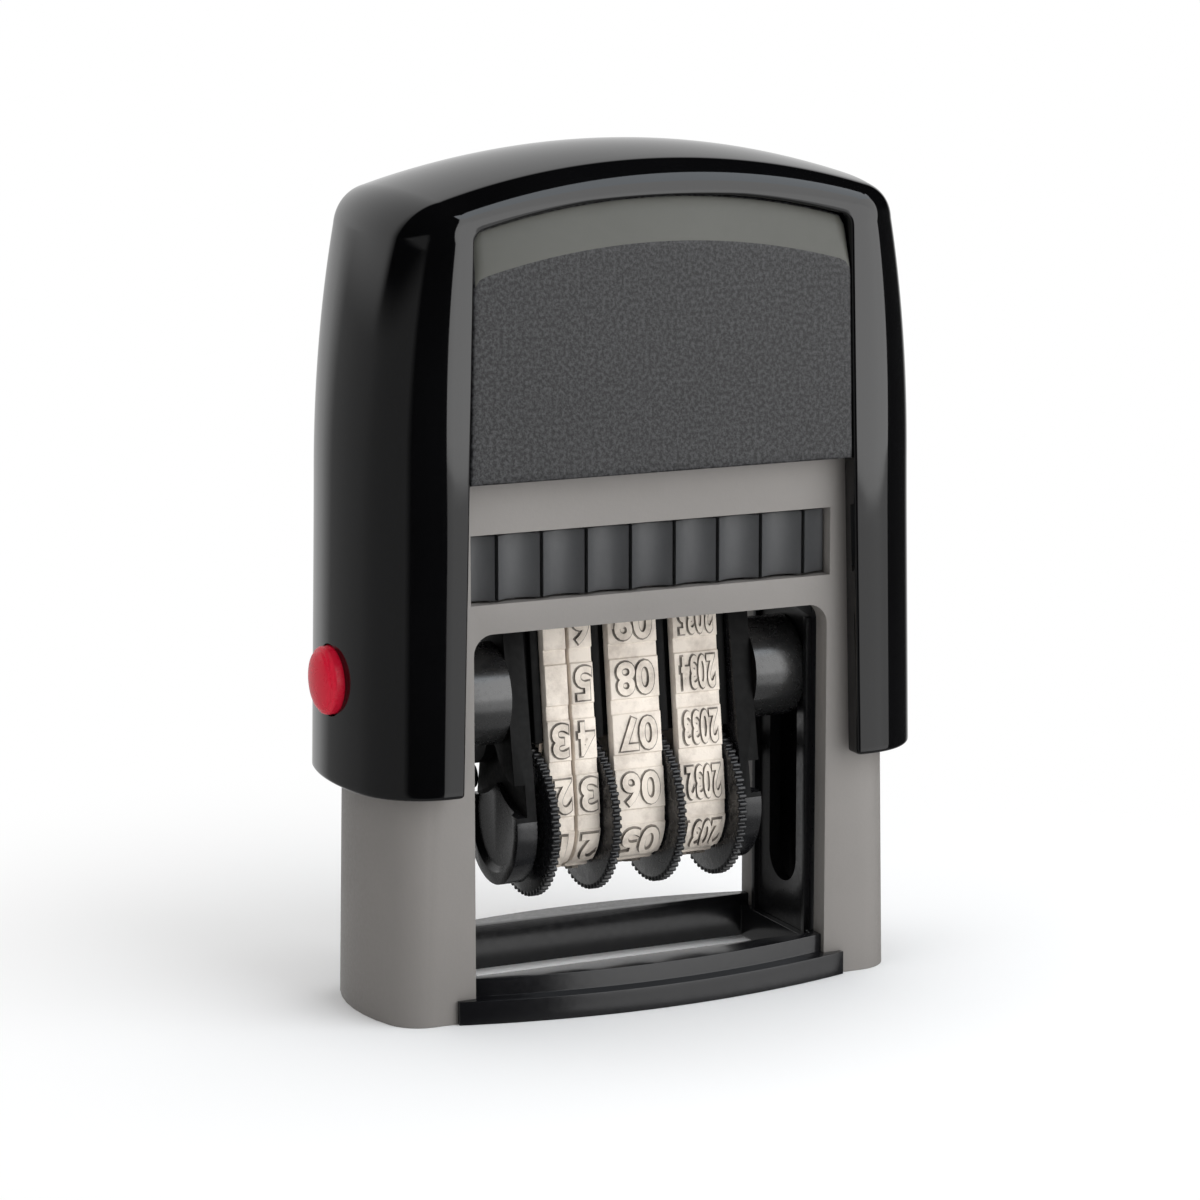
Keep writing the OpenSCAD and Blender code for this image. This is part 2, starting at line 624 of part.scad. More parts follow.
// The ink tray: a box with a fluted front, and a pocket under it for the felt.
pad_half_w = floor_half_w - 2 * tray_gap;
pad_half_d = tray_half_d - tray_wall;
module ink_tray() {
    flute_r = (pow(flute_pitch / 2, 2) + flute_depth * flute_depth) / (2 * flute_depth);
    color([0.22, 0.22, 0.23])
    difference() {
        block(-tray_half_w, tray_half_w, -tray_half_d, tray_half_d, tray_z, tray_z + tray_h);
        block(-pad_half_w, pad_half_w, -pad_half_d, pad_half_d, tray_z - 1, pad_z + pad_h);
        for (k = [-(flute_count + 1) / 2:(flute_count + 1) / 2])
            translate([k * flute_pitch, -tray_half_d + flute_depth - flute_r, tray_z - 1])
                cylinder(h = tray_h + 2, r = flute_r);
    }
}

module ink_pad() {
    color([0.1, 0.1, 0.2]) block(-pad_half_w, pad_half_w, -pad_half_d, pad_half_d, pad_z, pad_z + pad_h);
}

// The loop of a date band, offset outwards from its inner face, by length from the nose's middle.
axle_z = pivot_z - axle_drop;
band_in_r = hub_r + run_gap;
nose_top = print_h - type_h - band_t;
nose_c = [nose_flat, nose_top - nose_r];
run_v = [-nose_flat, -axle_drop - nose_c[1]];
run_a = atan2(-run_v[0], -run_v[1]) + asin((band_in_r - nose_r) / norm(run_v));
run_l = sqrt(pow(norm(run_v), 2) - pow(band_in_r - nose_r, 2));
nose_l = (nose_r + band_t) * (90 - run_a + 2 * atan2(nose_flat, -run_v[1])) * PI / 180;
run_n = 90 - (90 - run_a + 2 * atan2(nose_flat, -run_v[1]));
wheel_l = (band_in_r + band_t) * (90 + run_n) * PI / 180;
half_loop = nose_flat + nose_l + run_l + wheel_l;
type_pitch = 2 * half_loop / type_count;
run_dir = [cos(run_n), sin(run_n)];
function loop_half(s, d) =
    s < nose_flat ? [s, nose_top + d]
    : s < nose_flat + nose_l ? let (a = 90 - (s - nose_flat) / (nose_r + band_t) * 180 / PI)
        nose_c + (nose_r + d) * [cos(a), sin(a)]
    : s < nose_flat + nose_l + run_l ? let (t = (s - nose_flat - nose_l) / run_l)
        (nose_c + (nose_r + d) * run_dir) * (1 - t) + ([0, -axle_drop] + (band_in_r + d) * run_dir) * t
    : let (a = run_n - (s - nose_flat - nose_l - run_l) / (band_in_r + band_t) * 180 / PI)
        [0, -axle_drop] + (band_in_r + d) * [cos(a), sin(a)];
function loop_at(s, d) = s <= half_loop ? loop_half(s, d)
                       : let (p = loop_half(2 * half_loop - s, d)) [-p[0], p[1]];

// Points round the band with a raised block at each character, and round its smooth inner face.
loop_steps = 8;
type_points = [for (k = [0:type_count - 1], i = [0:loop_steps + 1])
    let (edge = type_l / 2, gap = type_pitch - type_l,
         s = i <= loop_steps / 2 ? k * type_pitch - edge + type_l * i / (loop_steps / 2)
             : k * type_pitch + edge + 0.02 + (gap - 0.04) * (i - loop_steps / 2 - 1) / (loop_steps / 2))
    loop_at((s + 2 * half_loop) % (2 * half_loop), band_t + (i <= loop_steps / 2 ? type_h : 0))];
bore_count = 120;
bore_points = [for (i = [0:bore_count - 1]) loop_at(2 * half_loop * (i + 0.5) / bore_count, 0)];

module date_band(x0, w) {
    color([0.88, 0.86, 0.8]) translate([0, 0, pivot_z]) along_x(x0, x0 + w)
        difference() {
            polygon(type_points);
            polygon(bore_points);
        }
}

module day_tens_band() { date_band(tens_band_x, day_band_w); }
module day_units_band() { date_band(units_band_x, day_band_w); }
module month_band() { date_band(month_band_x, month_band_w); }
module year_band() { date_band(year_band_x, year_band_w); }

// A setting wheel: a toothed disc at disc_x and a hub from hub_x0 to hub_x1, on the axle.
module setting_wheel(disc_x, hub_x0, hub_x1) {
    tooth_a = 360 / tooth_count;
    color([0.06, 0.06, 0.065])
    difference() {
        union() {
            translate([0, 0, axle_z]) along_x(disc_x, disc_x + disc_t)
                polygon([for (k = [0:tooth_count - 1], q = [[-0.3, 1], [0.1, 1], [0.25, 0], [0.55, 0]])
                    let (a = (k + q[0]) * tooth_a, r = disc_r - tooth_depth * (1 - q[1])) [r * cos(a), r * sin(a)]]);
            rod_x(hub_x0, hub_x1, hub_r, 0, axle_z);
        }
        rod_x(-far, far, axle_r + run_gap, 0, axle_z);
    }
}

module day_tens_wheel() {
    setting_wheel(tens_disc_x, tens_disc_x + eps, tens_band_x + day_band_w + stack_gap / 2);
}
module day_units_wheel() { setting_wheel(units_disc_x, units_band_x - stack_gap / 2, units_disc_x + eps); }
module month_wheel() {
    setting_wheel(month_disc_x, month_band_x - band_lead - stack_gap / 4, month_disc_x + eps);
}
module year_wheel() {
    setting_wheel(year_disc_x, year_band_x - band_lead - stack_gap / 4, year_disc_x + eps);
}

module wheel_axle() {
    color([0.7, 0.7, 0.72]) rod_x(-stack_half_w - axle_seat, stack_half_w + axle_seat, axle_r, 0, axle_z);
}

// The core inside the bands, from the nose to the wheels, with a fin beside each band.
core_foot = disc_r + core_gap - axle_drop;
run_top = nose_c + nose_r * run_dir;
run_foot = [0, -axle_drop] + band_in_r * run_dir;
function run_x(z) = run_top[0] + (run_foot[0] - run_top[0]) * (run_top[1] - z) / (run_top[1] - run_foot[1]);
module core_outline(grow, top) {
    polygon([[-run_x(core_foot) - grow, core_foot], [run_x(core_foot) + grow, core_foot],
             [nose_flat + nose_r + grow, nose_c[1]], [nose_flat, top],
             [-nose_flat, top], [-nose_flat - nose_r - grow, nose_c[1]]]);
}
module platen() {
    color([0.07, 0.07, 0.075]) translate([0, 0, pivot_z]) {
        along_x(-stack_half_w, stack_half_w) core_outline(-core_gap, nose_top - run_gap);
        for (x = [tens_disc_x, units_disc_x, month_disc_x, year_disc_x])
            along_x(x, x + disc_t) core_outline(band_t - fin_drop, nose_top + band_t - fin_drop);
    }
}

// The path of the fixed peg over a side plate as the carriage turns, and the groove along it.
groove_steps = 12;
function peg_path(a) = let (u = travel * (a / 180 - 0.5))
    [peg_y * cos(a) + u * sin(a), -peg_y * sin(a) + u * cos(a)];
function peg_side(a) = let (v = peg_path(a + 0.5) - peg_path(a - 0.5)) [-v[1], v[0]] / norm(v);
groove_w = peg_r + peg_gap;
groove_a = [for (i = [0:groove_steps]) -14 + 100 * i / groove_steps];
module groove_branch() {
    polygon(concat([for (a = groove_a) peg_path(a) + groove_w * peg_side(a)],
                   [for (i = [groove_steps:-1:0]) peg_path(groove_a[i]) - groove_w * peg_side(groove_a[i])]));
}

// A side plate on the right: a drop shape with the pivot's boss and pin, the groove and the axle's hole.
nose_half_w = nose_flat + nose_r + band_t;
plate_top = nose_top;
module side_plate() {
    lean = atan2(plate_r - nose_half_w, plate_top + axle_drop);
    x0 = stack_half_w;
    x1 = stack_half_w + plate_t;
    boss_x1 = window_half_w - rib_h / 2;
    color([0.07, 0.07, 0.075]) translate([0, 0, pivot_z])
    difference() {
        union() {
            along_x(x0, x1) union() {
                polygon([[-nose_half_w, plate_top], [nose_half_w, plate_top],
                         [plate_r * cos(lean), plate_r * sin(lean) - axle_drop],
                         [-plate_r * cos(lean), plate_r * sin(lean) - axle_drop]]);
                translate([0, -axle_drop]) circle(r = plate_r);
            }
            rod_x(x1 - eps, boss_x1, boss_r);
            rod_x(boss_x1 - eps, arm_x1 - arm_gap / 2, pin_r);
        }
        rod_x(0, x0 + axle_seat, axle_r, 0, -axle_drop);
        translate([x1 - dish_depth, 0, -axle_drop]) rotate([0, 90, 0])
            cylinder(h = 2 * dish_depth, r1 = dish_r - dish_depth, r2 = dish_r + dish_depth);
        along_x(x1 - groove_depth, x1 + 0.5) groove_branch();
        along_x(x1 - groove_depth, x1 + 0.5) mirror([1, 0]) groove_branch();
        rod_x(x1 - groove_depth, x1 + 0.5, groove_w, 0, -peg_y);
    }
}

// The left plate also has the collar that spaces the first wheel.
module left_carriage_plate() {
    mirror([1, 0, 0]) side_plate();
    color([0.07, 0.07, 0.075]) difference() {
        rod_x(-stack_half_w - eps, tens_disc_x - stack_gap, hub_r, 0, axle_z);
        rod_x(-far, far, axle_r, 0, axle_z);
    }
}

module right_carriage_plate() { side_plate(); }

cap_shell();
front_label_plate();
rear_label_plate();
left_lock_button();
right_lock_button();
drive_yoke();
return_spring();
housing();
left_guide_insert();
right_guide_insert();
base_ring();
ink_tray();
ink_pad();
left_carriage_plate();
right_carriage_plate();
platen();
wheel_axle();
day_tens_wheel();
day_units_wheel();
month_wheel();
year_wheel();
day_tens_band();
day_units_band();
month_band();
year_band();
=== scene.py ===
"""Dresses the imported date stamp: finished pieces, raised numerals, materials, light and camera.

Lengths are written in millimetres, and MM turns them into metres. +Z is up and the front is -Y.
"""

import math

import bmesh
import bpy
from mathutils import Matrix, Vector


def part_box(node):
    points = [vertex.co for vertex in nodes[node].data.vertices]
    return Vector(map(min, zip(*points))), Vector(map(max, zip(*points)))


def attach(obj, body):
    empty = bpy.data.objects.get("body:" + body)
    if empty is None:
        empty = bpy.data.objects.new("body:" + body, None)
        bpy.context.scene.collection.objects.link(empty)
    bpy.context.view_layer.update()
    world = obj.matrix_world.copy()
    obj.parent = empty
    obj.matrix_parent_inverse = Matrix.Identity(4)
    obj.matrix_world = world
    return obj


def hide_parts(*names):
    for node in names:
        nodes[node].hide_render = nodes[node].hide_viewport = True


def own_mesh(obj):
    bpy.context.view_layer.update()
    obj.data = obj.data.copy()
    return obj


MM = 0.001

# Sizes of the cap, as in the part's source
CAP_HALF_W = 27.45
CAP_HALF_D = 10.73
CAP_FOOT_Z = 20.7
CAP_TOP_Z = 75.7
CAP_WALL = 1.8
SIDE_DRAFT = math.radians(1.15)
FLANK_Z = 47.0
FLANK_R = 113.0
ARCH_R = 68.0
SHOULDER_R = 5.0
CAP_BULGE_R = 23.6
CAP_EDGE_R = 6.7
TOP_CROWN_R = 38.0
TOP_EDGE_R = 3.0
OPEN_HALF_W = 19.1
OPEN_FLARE = math.radians(1.46)
OPEN_CORNER_R = 1.2
TOP_BORDER = 4.0
LIP_R = 0.3
LIP_SHARE = 0.9
FOOT_BEVEL = 0.35
FOOT_ANGLES = (0, 30, 50, 70, 90)
CAP_SHARP = 40

# Steps along the cap's arch, and across its wall: the bulge, the rounded edge and the lip
CAP_STEPS = {"side": 36, "flank": 28, "corner": 28, "top": 56}
BULGE_STEPS = 10
EDGE_STEPS = 18
LIP_STEPS = 4

# Sizes of the label plates
LABEL_Z = 47.7
LABEL_SETBACK = 0.2
LABEL_GAP = 0.08
LABEL_ROLL_H = 3.9
LABEL_ROLL_D = 0.95
LABEL_ROLL_POWER = 1.08
LABEL_BACK_GAP = 0.3
LABEL_EDGE_R = 0.18
LABEL_FACE_ROWS = 24
LABEL_ROWS = 36
LABEL_COLUMNS = 64

# Sizes of the date bands and their carriage
PIVOT_Z = 27.3
AXLE_DROP = 11.7
PRINT_H = 9.4
TYPE_H = 0.4
BAND_T = 0.9
BAND_IN_R = 3.7
NOSE_FLAT = 0.8
NOSE_R = 0.5
TYPE_COUNT = 12
DIGIT_H = 3.0
TYPE_WEIGHT = 0.022
TYPE_SHARE = 0.8
BAND_EDGE = 0.14
BAND_SHARP = 30
BLOCK_L = 3.5
BLOCK_H = 0.18
BLOCK_SLOPE = 0.12
BLOCK_STEPS = 8
GAP_STEPS = 4
# The numerals' dark halo, partly ink and partly painted shade: its width, its rise over the block and how
# much bolder it makes them
INK_SHADE_EDGE = 0.16
INK_SHADE_RISE = 0.02
INK_SHADE_WEIGHT = 0.7
GLYPH_STEPS = 4
GLYPH_CUTS = 8

# Just outside the face of the carriage's side plates, and where their necks begin
PLATE_FACE_X = 12.05
NECK_Z = 20.0

# Sizes of the tray's flutes and the narrow grooves between them
FLUTE_COUNT = 7
FLUTE_PITCH = 4.24
GROOVE_W = 0.34
GROOVE_D = 1.0

# Heights of the front bar of the foot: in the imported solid, and about as the photo shows it
PACKED_BAR_H = 2.9
FRONT_BAR_H = 3.7

# Sizes of the lock buttons
BUTTON_R = 3.0
BUTTON_Z = 29.8
BUTTON_OUT = 1.35
BUTTON_EDGE_R = 0.45
BUTTON_CROWN = 0.5
BUTTON_FLANGE = 0.6
BUTTON_FLANGE_T = 0.5
BUTTON_GAP = 0.18
BUTTON_SHARP = 45
HOLE_REACH = 4
EDGE_TURN = 0.85
EDGE_TURN_STEPS = 6
CROWN_STEPS = 10
TURN_STEPS = 72

# How the copies of the solids are cleaned and rounded: lengths, and angles in degrees
WELD = 0.002
FLAT = 0.6
BEVEL_ANGLE = 28
SHARP = 35
ROD_SIDES = 96

# What counts as level, how far the painted shade in a leg's hollow reaches and how far a face in it turns
# inwards
LEVEL = 0.05
SHADED_HOLLOW_REACH = 1.2
TURNED_IN = -0.5

# The photograph's camera: a fit of its edges gave the angle, the distance and the lens
VIEW_AZIMUTH = math.radians(25.22)
VIEW_ELEVATION = math.radians(10.17)
VIEW_DISTANCE = 365.7
VIEW_TARGET = (0.0, 0.0, 40.3)
PHOTO_SIZE = 1200
FOCAL_PX = 4110
TARGET_PX = (614, 537)
SENSOR = 36.0
NEAR_CLIP = 10.0

# The room's dark side, as a turn from the front towards the right, and the light that comes from all round
DARK_SIDE = math.radians(-17)
AMBIENT = 0.32
# The walls' tones from the back to the dark side, by shares of the way
PALE = 0.75
WALL_TONES = ((0.0, PALE), (0.06, 0.7), (0.12, 0.29), (0.9, 0.29), (0.94, 0.0))
# Overhead it is dark, but pale towards the back wall, between these shares of the way
BACK_WALL = (0.62, 0.72)
# The right wall is dark, from between these shares of the way to the right
RIGHT_WALL = (0.7, 0.88)
RIGHT_TONE = 0.03
# The walls give way to what is overhead between these heights
HORIZON = (0.0, 0.1)

# The floor, and where it starts and ends its fade to white
FLOOR_SIZE = 6000.0
FLOOR_DROP = 0.02
FLOOR_TONE = 0.92
FADE_FROM = 20.0
FADE_TO = 90.0

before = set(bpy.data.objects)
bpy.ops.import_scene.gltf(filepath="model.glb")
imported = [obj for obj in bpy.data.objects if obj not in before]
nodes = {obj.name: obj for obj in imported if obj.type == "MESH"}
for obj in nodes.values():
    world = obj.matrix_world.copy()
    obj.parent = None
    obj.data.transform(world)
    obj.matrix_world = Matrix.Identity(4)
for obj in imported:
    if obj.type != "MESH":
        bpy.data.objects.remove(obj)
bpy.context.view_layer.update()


# Materials

def shader(name):
    """A new material with its node tree, its principled shader and a texture coordinate in metres."""
    material = bpy.data.materials.new(name)
    material.use_nodes = True
    tree = material.node_tree
    bsdf = tree.nodes["Principled BSDF"]
    coord = tree.nodes.new("ShaderNodeTexCoord")
    return material, tree, bsdf, coord.outputs["Object"]


def noise(tree, coord, size_mm, detail=3.0, roughness=0.5):
    """A noise whose grains are about size_mm across."""
    node = tree.nodes.new("ShaderNodeTexNoise")
    node.inputs["Scale"].default_value = 1.0 / (size_mm * MM)
    node.inputs["Detail"].default_value = detail
    node.inputs["Roughness"].default_value = roughness
    tree.links.new(coord, node.inputs["Vector"])
    return node.outputs["Fac"]


# A noise lies mostly between these values
NOISE_LOW = 0.3
NOISE_HIGH = 0.7


def ramp(tree, fac, low, high, at=(NOISE_LOW, NOISE_HIGH)):
    """A colour ramp from low to high between two places of fac."""
    node = tree.nodes.new("ShaderNodeValToRGB")
    for element, place, colour in zip(node.color_ramp.elements, at, (low, high)):
        element.position = place
        element.color = (*colour, 1.0)
    tree.links.new(fac, node.inputs["Fac"])
    return node.outputs["Color"]


def spread(tree, fac, low, high):
    """fac stretched to the range from low to high."""
    node = tree.nodes.new("ShaderNodeMapRange")
    limits = {"From Min": NOISE_LOW, "From Max": NOISE_HIGH, "To Min": low, "To Max": high}
    for socket, value in limits.items():
        node.inputs[socket].default_value = value
    tree.links.new(fac, node.inputs["Value"])
    return node.outputs["Result"]


def bump(tree, bsdf, height, depth_mm):
    """Surface relief of about depth_mm from a height."""
    node = tree.nodes.new("ShaderNodeBump")
    node.inputs["Strength"].default_value = 1.0
    node.inputs["Distance"].default_value = depth_mm * MM
    tree.links.new(height, node.inputs["Height"])
    tree.links.new(node.outputs["Normal"], bsdf.inputs["Normal"])


def moulded(name, low, high, grain_mm, rough, relief_mm, specular=0.5):
    """A moulded plastic: colour that drifts a little, grainy roughness and a fine relief."""
    material, tree, bsdf, coord = shader(name)
    drift = noise(tree, coord, 14.0, 4.0)
    grain = noise(tree, coord, grain_mm, 4.0, 0.6)
    tree.links.new(ramp(tree, drift, low, high), bsdf.inputs["Base Color"])
    tree.links.new(spread(tree, grain, *rough), bsdf.inputs["Roughness"])
    bsdf.inputs["Specular IOR Level"].default_value = specular
    bump(tree, bsdf, grain, relief_mm)
    return material


def grained_label():
    """The label plate's etched grain: dark plastic with pale specks."""
    material, tree, bsdf, coord = shader("label_grain")
    speck = noise(tree, coord, 0.34, 2.0, 0.7)
    drift = noise(tree, coord, 9.0, 3.0)
    colour = ramp(tree, speck, (0.006, 0.006, 0.007), (0.052, 0.052, 0.054), (0.4, 0.66))
    mix = tree.nodes.new("ShaderNodeMix")
    mix.data_type = "RGBA"
    mix.blend_type = "MULTIPLY"
    mix.inputs["Factor"].default_value = 0.35
    tree.links.new(colour, mix.inputs["A"])
    tree.links.new(ramp(tree, drift, (0.7, 0.7, 0.7), (1.0, 1.0, 1.0)), mix.inputs["B"])
    tree.links.new(mix.outputs["Result"], bsdf.inputs["Base Color"])
    tree.links.new(spread(tree, speck, 0.36, 0.52), bsdf.inputs["Roughness"])
    bump(tree, bsdf, speck, 0.035)
    bsdf.inputs["Specular IOR Level"].default_value = 0.36
    return material


def band_rubber(name, low, high):
    """Cream rubber with a soft bloom and traces of ink."""
    material, tree, bsdf, coord = shader(name)
    stain = noise(tree, coord, 2.6, 5.0, 0.65)
    grain = noise(tree, coord, 0.22, 3.0)
    tree.links.new(ramp(tree, stain, low, high, (0.34, 0.56)), bsdf.inputs["Base Color"])
    tree.links.new(spread(tree, grain, 0.55, 0.75), bsdf.inputs["Roughness"])
    bsdf.inputs["Specular IOR Level"].default_value = 0.35
    bump(tree, bsdf, grain, 0.03)
    return material


def drawn_steel():
    """Drawn steel wire and rod, with fine lines round it."""
    material, tree, bsdf, coord = shader("drawn_steel")
    lines = noise(tree, coord, 0.3, 3.0)
    bsdf.inputs["Base Color"].default_value = (0.58, 0.58, 0.6, 1.0)
    bsdf.inputs["Metallic"].default_value = 1.0
    tree.links.new(spread(tree, lines, 0.18, 0.34), bsdf.inputs["Roughness"])
    bump(tree, bsdf, lines, 0.01)
    return material


def ink_felt():
    """Felt soaked with dark ink."""
    material, tree, bsdf, coord = shader("ink_felt")
    fibre = noise(tree, coord, 0.4, 6.0, 0.75)
    tree.links.new(ramp(tree, fibre, (0.006, 0.006, 0.016), (0.03, 0.03, 0.07)), bsdf.inputs["Base Color"])
    tree.links.new(spread(tree, fibre, 0.55, 0.9), bsdf.inputs["Roughness"])
    bump(tree, bsdf, fibre, 0.15)
    return material


GLOSS_BLACK = moulded(
    "gloss_black", (0.0016, 0.0016, 0.0018), (0.0026, 0.0026, 0.0029),
    grain_mm=3.2, rough=(0.045, 0.075), relief_mm=0.0008)
SATIN_BLACK = moulded(
    "satin_black", (0.006, 0.006, 0.007), (0.009, 0.009, 0.010),
    grain_mm=0.5, rough=(0.26, 0.38), relief_mm=0.006, specular=0.28)
CARRIAGE_BLACK = moulded(
    "carriage_black", (0.006, 0.006, 0.007), (0.010, 0.010, 0.011),
    grain_mm=0.5, rough=(0.2, 0.3), relief_mm=0.005)
# A lighter, shinier copy of the carriage's black: painted light on the side plates' bosses
PAINTED_LIGHT_BLACK = moulded(
    "painted_light_black", (0.016, 0.016, 0.016), (0.022, 0.022, 0.022),
    grain_mm=0.5, rough=(0.2, 0.3), relief_mm=0.005, specular=0.9)
# A darker, matt copy of the carriage's black: painted shade on the platen between the bands and on the side
# plates' necks
PAINTED_SHADE_BLACK = moulded(
    "painted_shade_black", (0.003, 0.003, 0.003), (0.005, 0.005, 0.005),
    grain_mm=0.5, rough=(0.5, 0.65), relief_mm=0.006, specular=0.15)
BASE_BLACK = moulded(
    "base_black", (0.006, 0.006, 0.007), (0.010, 0.010, 0.011),
    grain_mm=0.6, rough=(0.15, 0.24), relief_mm=0.004)
WHEEL_BLACK = moulded(
    "wheel_black", (0.007, 0.007, 0.008), (0.011, 0.011, 0.012),
    grain_mm=0.6, rough=(0.22, 0.34), relief_mm=0.005)
TRAY_CHARCOAL = moulded(
    "tray_charcoal", (0.042, 0.043, 0.045), (0.056, 0.057, 0.059),
    grain_mm=0.5, rough=(0.46, 0.58), relief_mm=0.008)
HOUSING_GREY = moulded(
    "housing_grey", (0.207, 0.194, 0.182), (0.228, 0.213, 0.200),
    grain_mm=0.35, rough=(0.42, 0.56), relief_mm=0.012, specular=0.4)
BUTTON_RED = moulded(
    "button_red", (0.60, 0.006, 0.028), (0.66, 0.009, 0.036),
    grain_mm=0.8, rough=(0.24, 0.34), relief_mm=0.004, specular=0.3)
LABEL_GRAIN = grained_label()
LABEL_BAND = moulded(
    "label_band", (0.066, 0.066, 0.056), (0.079, 0.079, 0.068),
    grain_mm=0.5, rough=(0.4, 0.5), relief_mm=0.004, specular=0.42)
BAND_CREAM = band_rubber("band_cream", (0.59, 0.52, 0.45), (0.82, 0.74, 0.65))
TYPE_CREAM = band_rubber("type_cream", (0.48, 0.42, 0.36), (0.78, 0.70, 0.61))
# The numerals' dark sides and halo: partly ink, partly painted shade round the raised type
TYPE_INK_AND_SHADE = band_rubber("type_ink_and_shade", (0.07, 0.06, 0.052), (0.31, 0.275, 0.235))
STEEL = drawn_steel()
FELT = ink_felt()


# Mesh helpers

def new_object(name, mesh, *materials):
    """An object in the scene with these materials."""
    obj = bpy.data.objects.new(name, mesh)
    bpy.context.scene.collection.objects.link(obj)
    for material in materials:
        obj.data.materials.append(material)
    return obj


def smooth_by_angle(mesh, degrees=SHARP):
    """Smooth shading, with edges sharper than the angle kept crisp."""
    for polygon in mesh.polygons:
        polygon.use_smooth = True
    mesh.set_sharp_from_angle(angle=math.radians(degrees))


def baked(obj):
    """Turns the object's modifiers into its mesh."""
    graph = bpy.context.evaluated_depsgraph_get()
    mesh = bpy.data.meshes.new_from_object(obj.evaluated_get(graph))
    obj.modifiers.clear()
    obj.data = mesh
    return obj


def place(obj, body, slot, *replaced):
    """The piece rides on a body and stands for these nodes. The slot is not used."""
    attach(obj, body)
    if replaced:
        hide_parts(*replaced)


def dressed(node, body, slot, material, bevel_mm, segments=3, reshape=None):
    """A copy of a CAD node with its edges rounded, standing for the node; reshape may alter it first."""
    mesh = nodes[node].data.copy()
    mesh.materials.clear()
    work = bmesh.new()
    work.from_mesh(mesh)
    bmesh.ops.remove_doubles(work, verts=work.verts, dist=WELD * MM)
    bmesh.ops.dissolve_limit(work, angle_limit=math.radians(FLAT), verts=work.verts, edges=work.edges)
    if reshape:
        reshape(work)
    work.to_mesh(mesh)
    work.free()
    obj = new_object(node + "_finished", mesh, material)
    for polygon in mesh.polygons:
        polygon.material_index = 0
    if bevel_mm:
        bevel = obj.modifiers.new("edges", "BEVEL")
        bevel.width = bevel_mm * MM
        bevel.segments = segments
        bevel.limit_method = "ANGLE"
        bevel.angle_limit = math.radians(BEVEL_ANGLE)
        bevel.harden_normals = False
        baked(obj)
    smooth_by_angle(obj.data)
    place(obj, body, slot, node)
    return obj


def lofted(rings):
    """A tube over equal closed rings of points in millimetres, and its rows of vertices."""
    work = bmesh.new()
    rows = [[work.verts.new(Vector(p) * MM) for p in ring] for ring in rings]
    count = len(rows[0])
    for a, b in zip(rows, rows[1:]):
        for k in range(count):
            m = (k + 1) % count
            work.faces.new((a[k], a[m], b[m], b[k]))
    return work, rows


def arc_point(centre, radius, angle):
    """The point of a circle at an angle."""
    return (centre[0] + radius * math.cos(angle), centre[1] + radius * math.sin(angle))


def blend_value(a, b, t):
    """The value at share t of the way from a to b."""
    return a + (b - a) * t


def lift_front_bar(work):
    """Raises the top of the foot's front bar."""
    for v in work.verts:
        if v.co.y < 0 and abs(v.co.z / MM - PACKED_BAR_H) < LEVEL:
            v.co.z = FRONT_BAR_H * MM


def paint_plate_shade_and_light(plate):
    """A side plate of the carriage gets painted shade along its neck, a darker matt copy of its black, and
    painted light on its boss, a lighter and shinier copy.
    """
    plate.data.materials.append(PAINTED_SHADE_BLACK)
    plate.data.materials.append(PAINTED_LIGHT_BLACK)
    for polygon in plate.data.polygons:
        centre = polygon.center / MM
        if abs(centre.x) > PLATE_FACE_X:
            polygon.material_index = 2
        elif centre.z > NECK_Z:
            polygon.material_index = 1


def shade_leg_hollows(housing):
    """Painted shade in the hollow legs: their inner faces get the inner parts' black finish."""
    housing.data.materials.append(SATIN_BLACK)
    high = Vector(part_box("right_guide_insert")[1]) / MM
    for polygon in housing.data.polygons:
        centre = polygon.center / MM
        normal = polygon.normal
        beside = abs(centre.x) > high.x - SHADED_HOLLOW_REACH and abs(centre.y) < high.y + LEVEL
        faces_in = normal.x * centre.x < 0 or normal.y * centre.y < TURNED_IN or normal.z < TURNED_IN
        if beside and centre.z < high.z + LEVEL and faces_in:
            polygon.material_index = 1


# The cap: a section that changes along the arch, from the right foot over the top to the left foot

class Outline:
    """The cap's front view: a leaning side, a flank arc, a shoulder arc and the arched top."""

    def __init__(self):
        self.arch = Vector((0, CAP_TOP_Z - ARCH_R))
        lean = Vector((math.cos(SIDE_DRAFT), math.sin(SIDE_DRAFT)))
        self.flank = Vector((self.side_x(FLANK_Z), FLANK_Z)) - FLANK_R * lean
        near, far = FLANK_R - SHOULDER_R, ARCH_R - SHOULDER_R
        apart = self.arch - self.flank
        along = (near ** 2 - far ** 2 + apart.length_squared) / (2 * apart.length)
        u = apart.normalized()
        self.shoulder = self.flank + along * u + math.sqrt(near ** 2 - along ** 2) * Vector((-u.y, u.x))
        self.flank_end = math.atan2(*(self.shoulder - self.flank).yx)
        self.shoulder_end = math.atan2(*(self.shoulder - self.arch).yx)

    def side_x(self, z):
        """Half the width of the leaning sides at a height."""
        return CAP_HALF_W - math.tan(SIDE_DRAFT) * (z - CAP_FOOT_Z)

    def at(self, stretch, t):
        """The point at share t of a stretch: side, flank, corner or top."""
        if stretch == "side":
            z = blend_value(CAP_FOOT_Z, FLANK_Z, t)
            return (self.side_x(z), z)
        if stretch == "flank":
            return arc_point(self.flank, FLANK_R, blend_value(SIDE_DRAFT, self.flank_end, t))
        if stretch == "corner":
            return arc_point(self.shoulder, SHOULDER_R, blend_value(self.flank_end, self.shoulder_end, t))
        return arc_point(self.arch, ARCH_R, blend_value(self.shoulder_end, math.pi / 2, t))


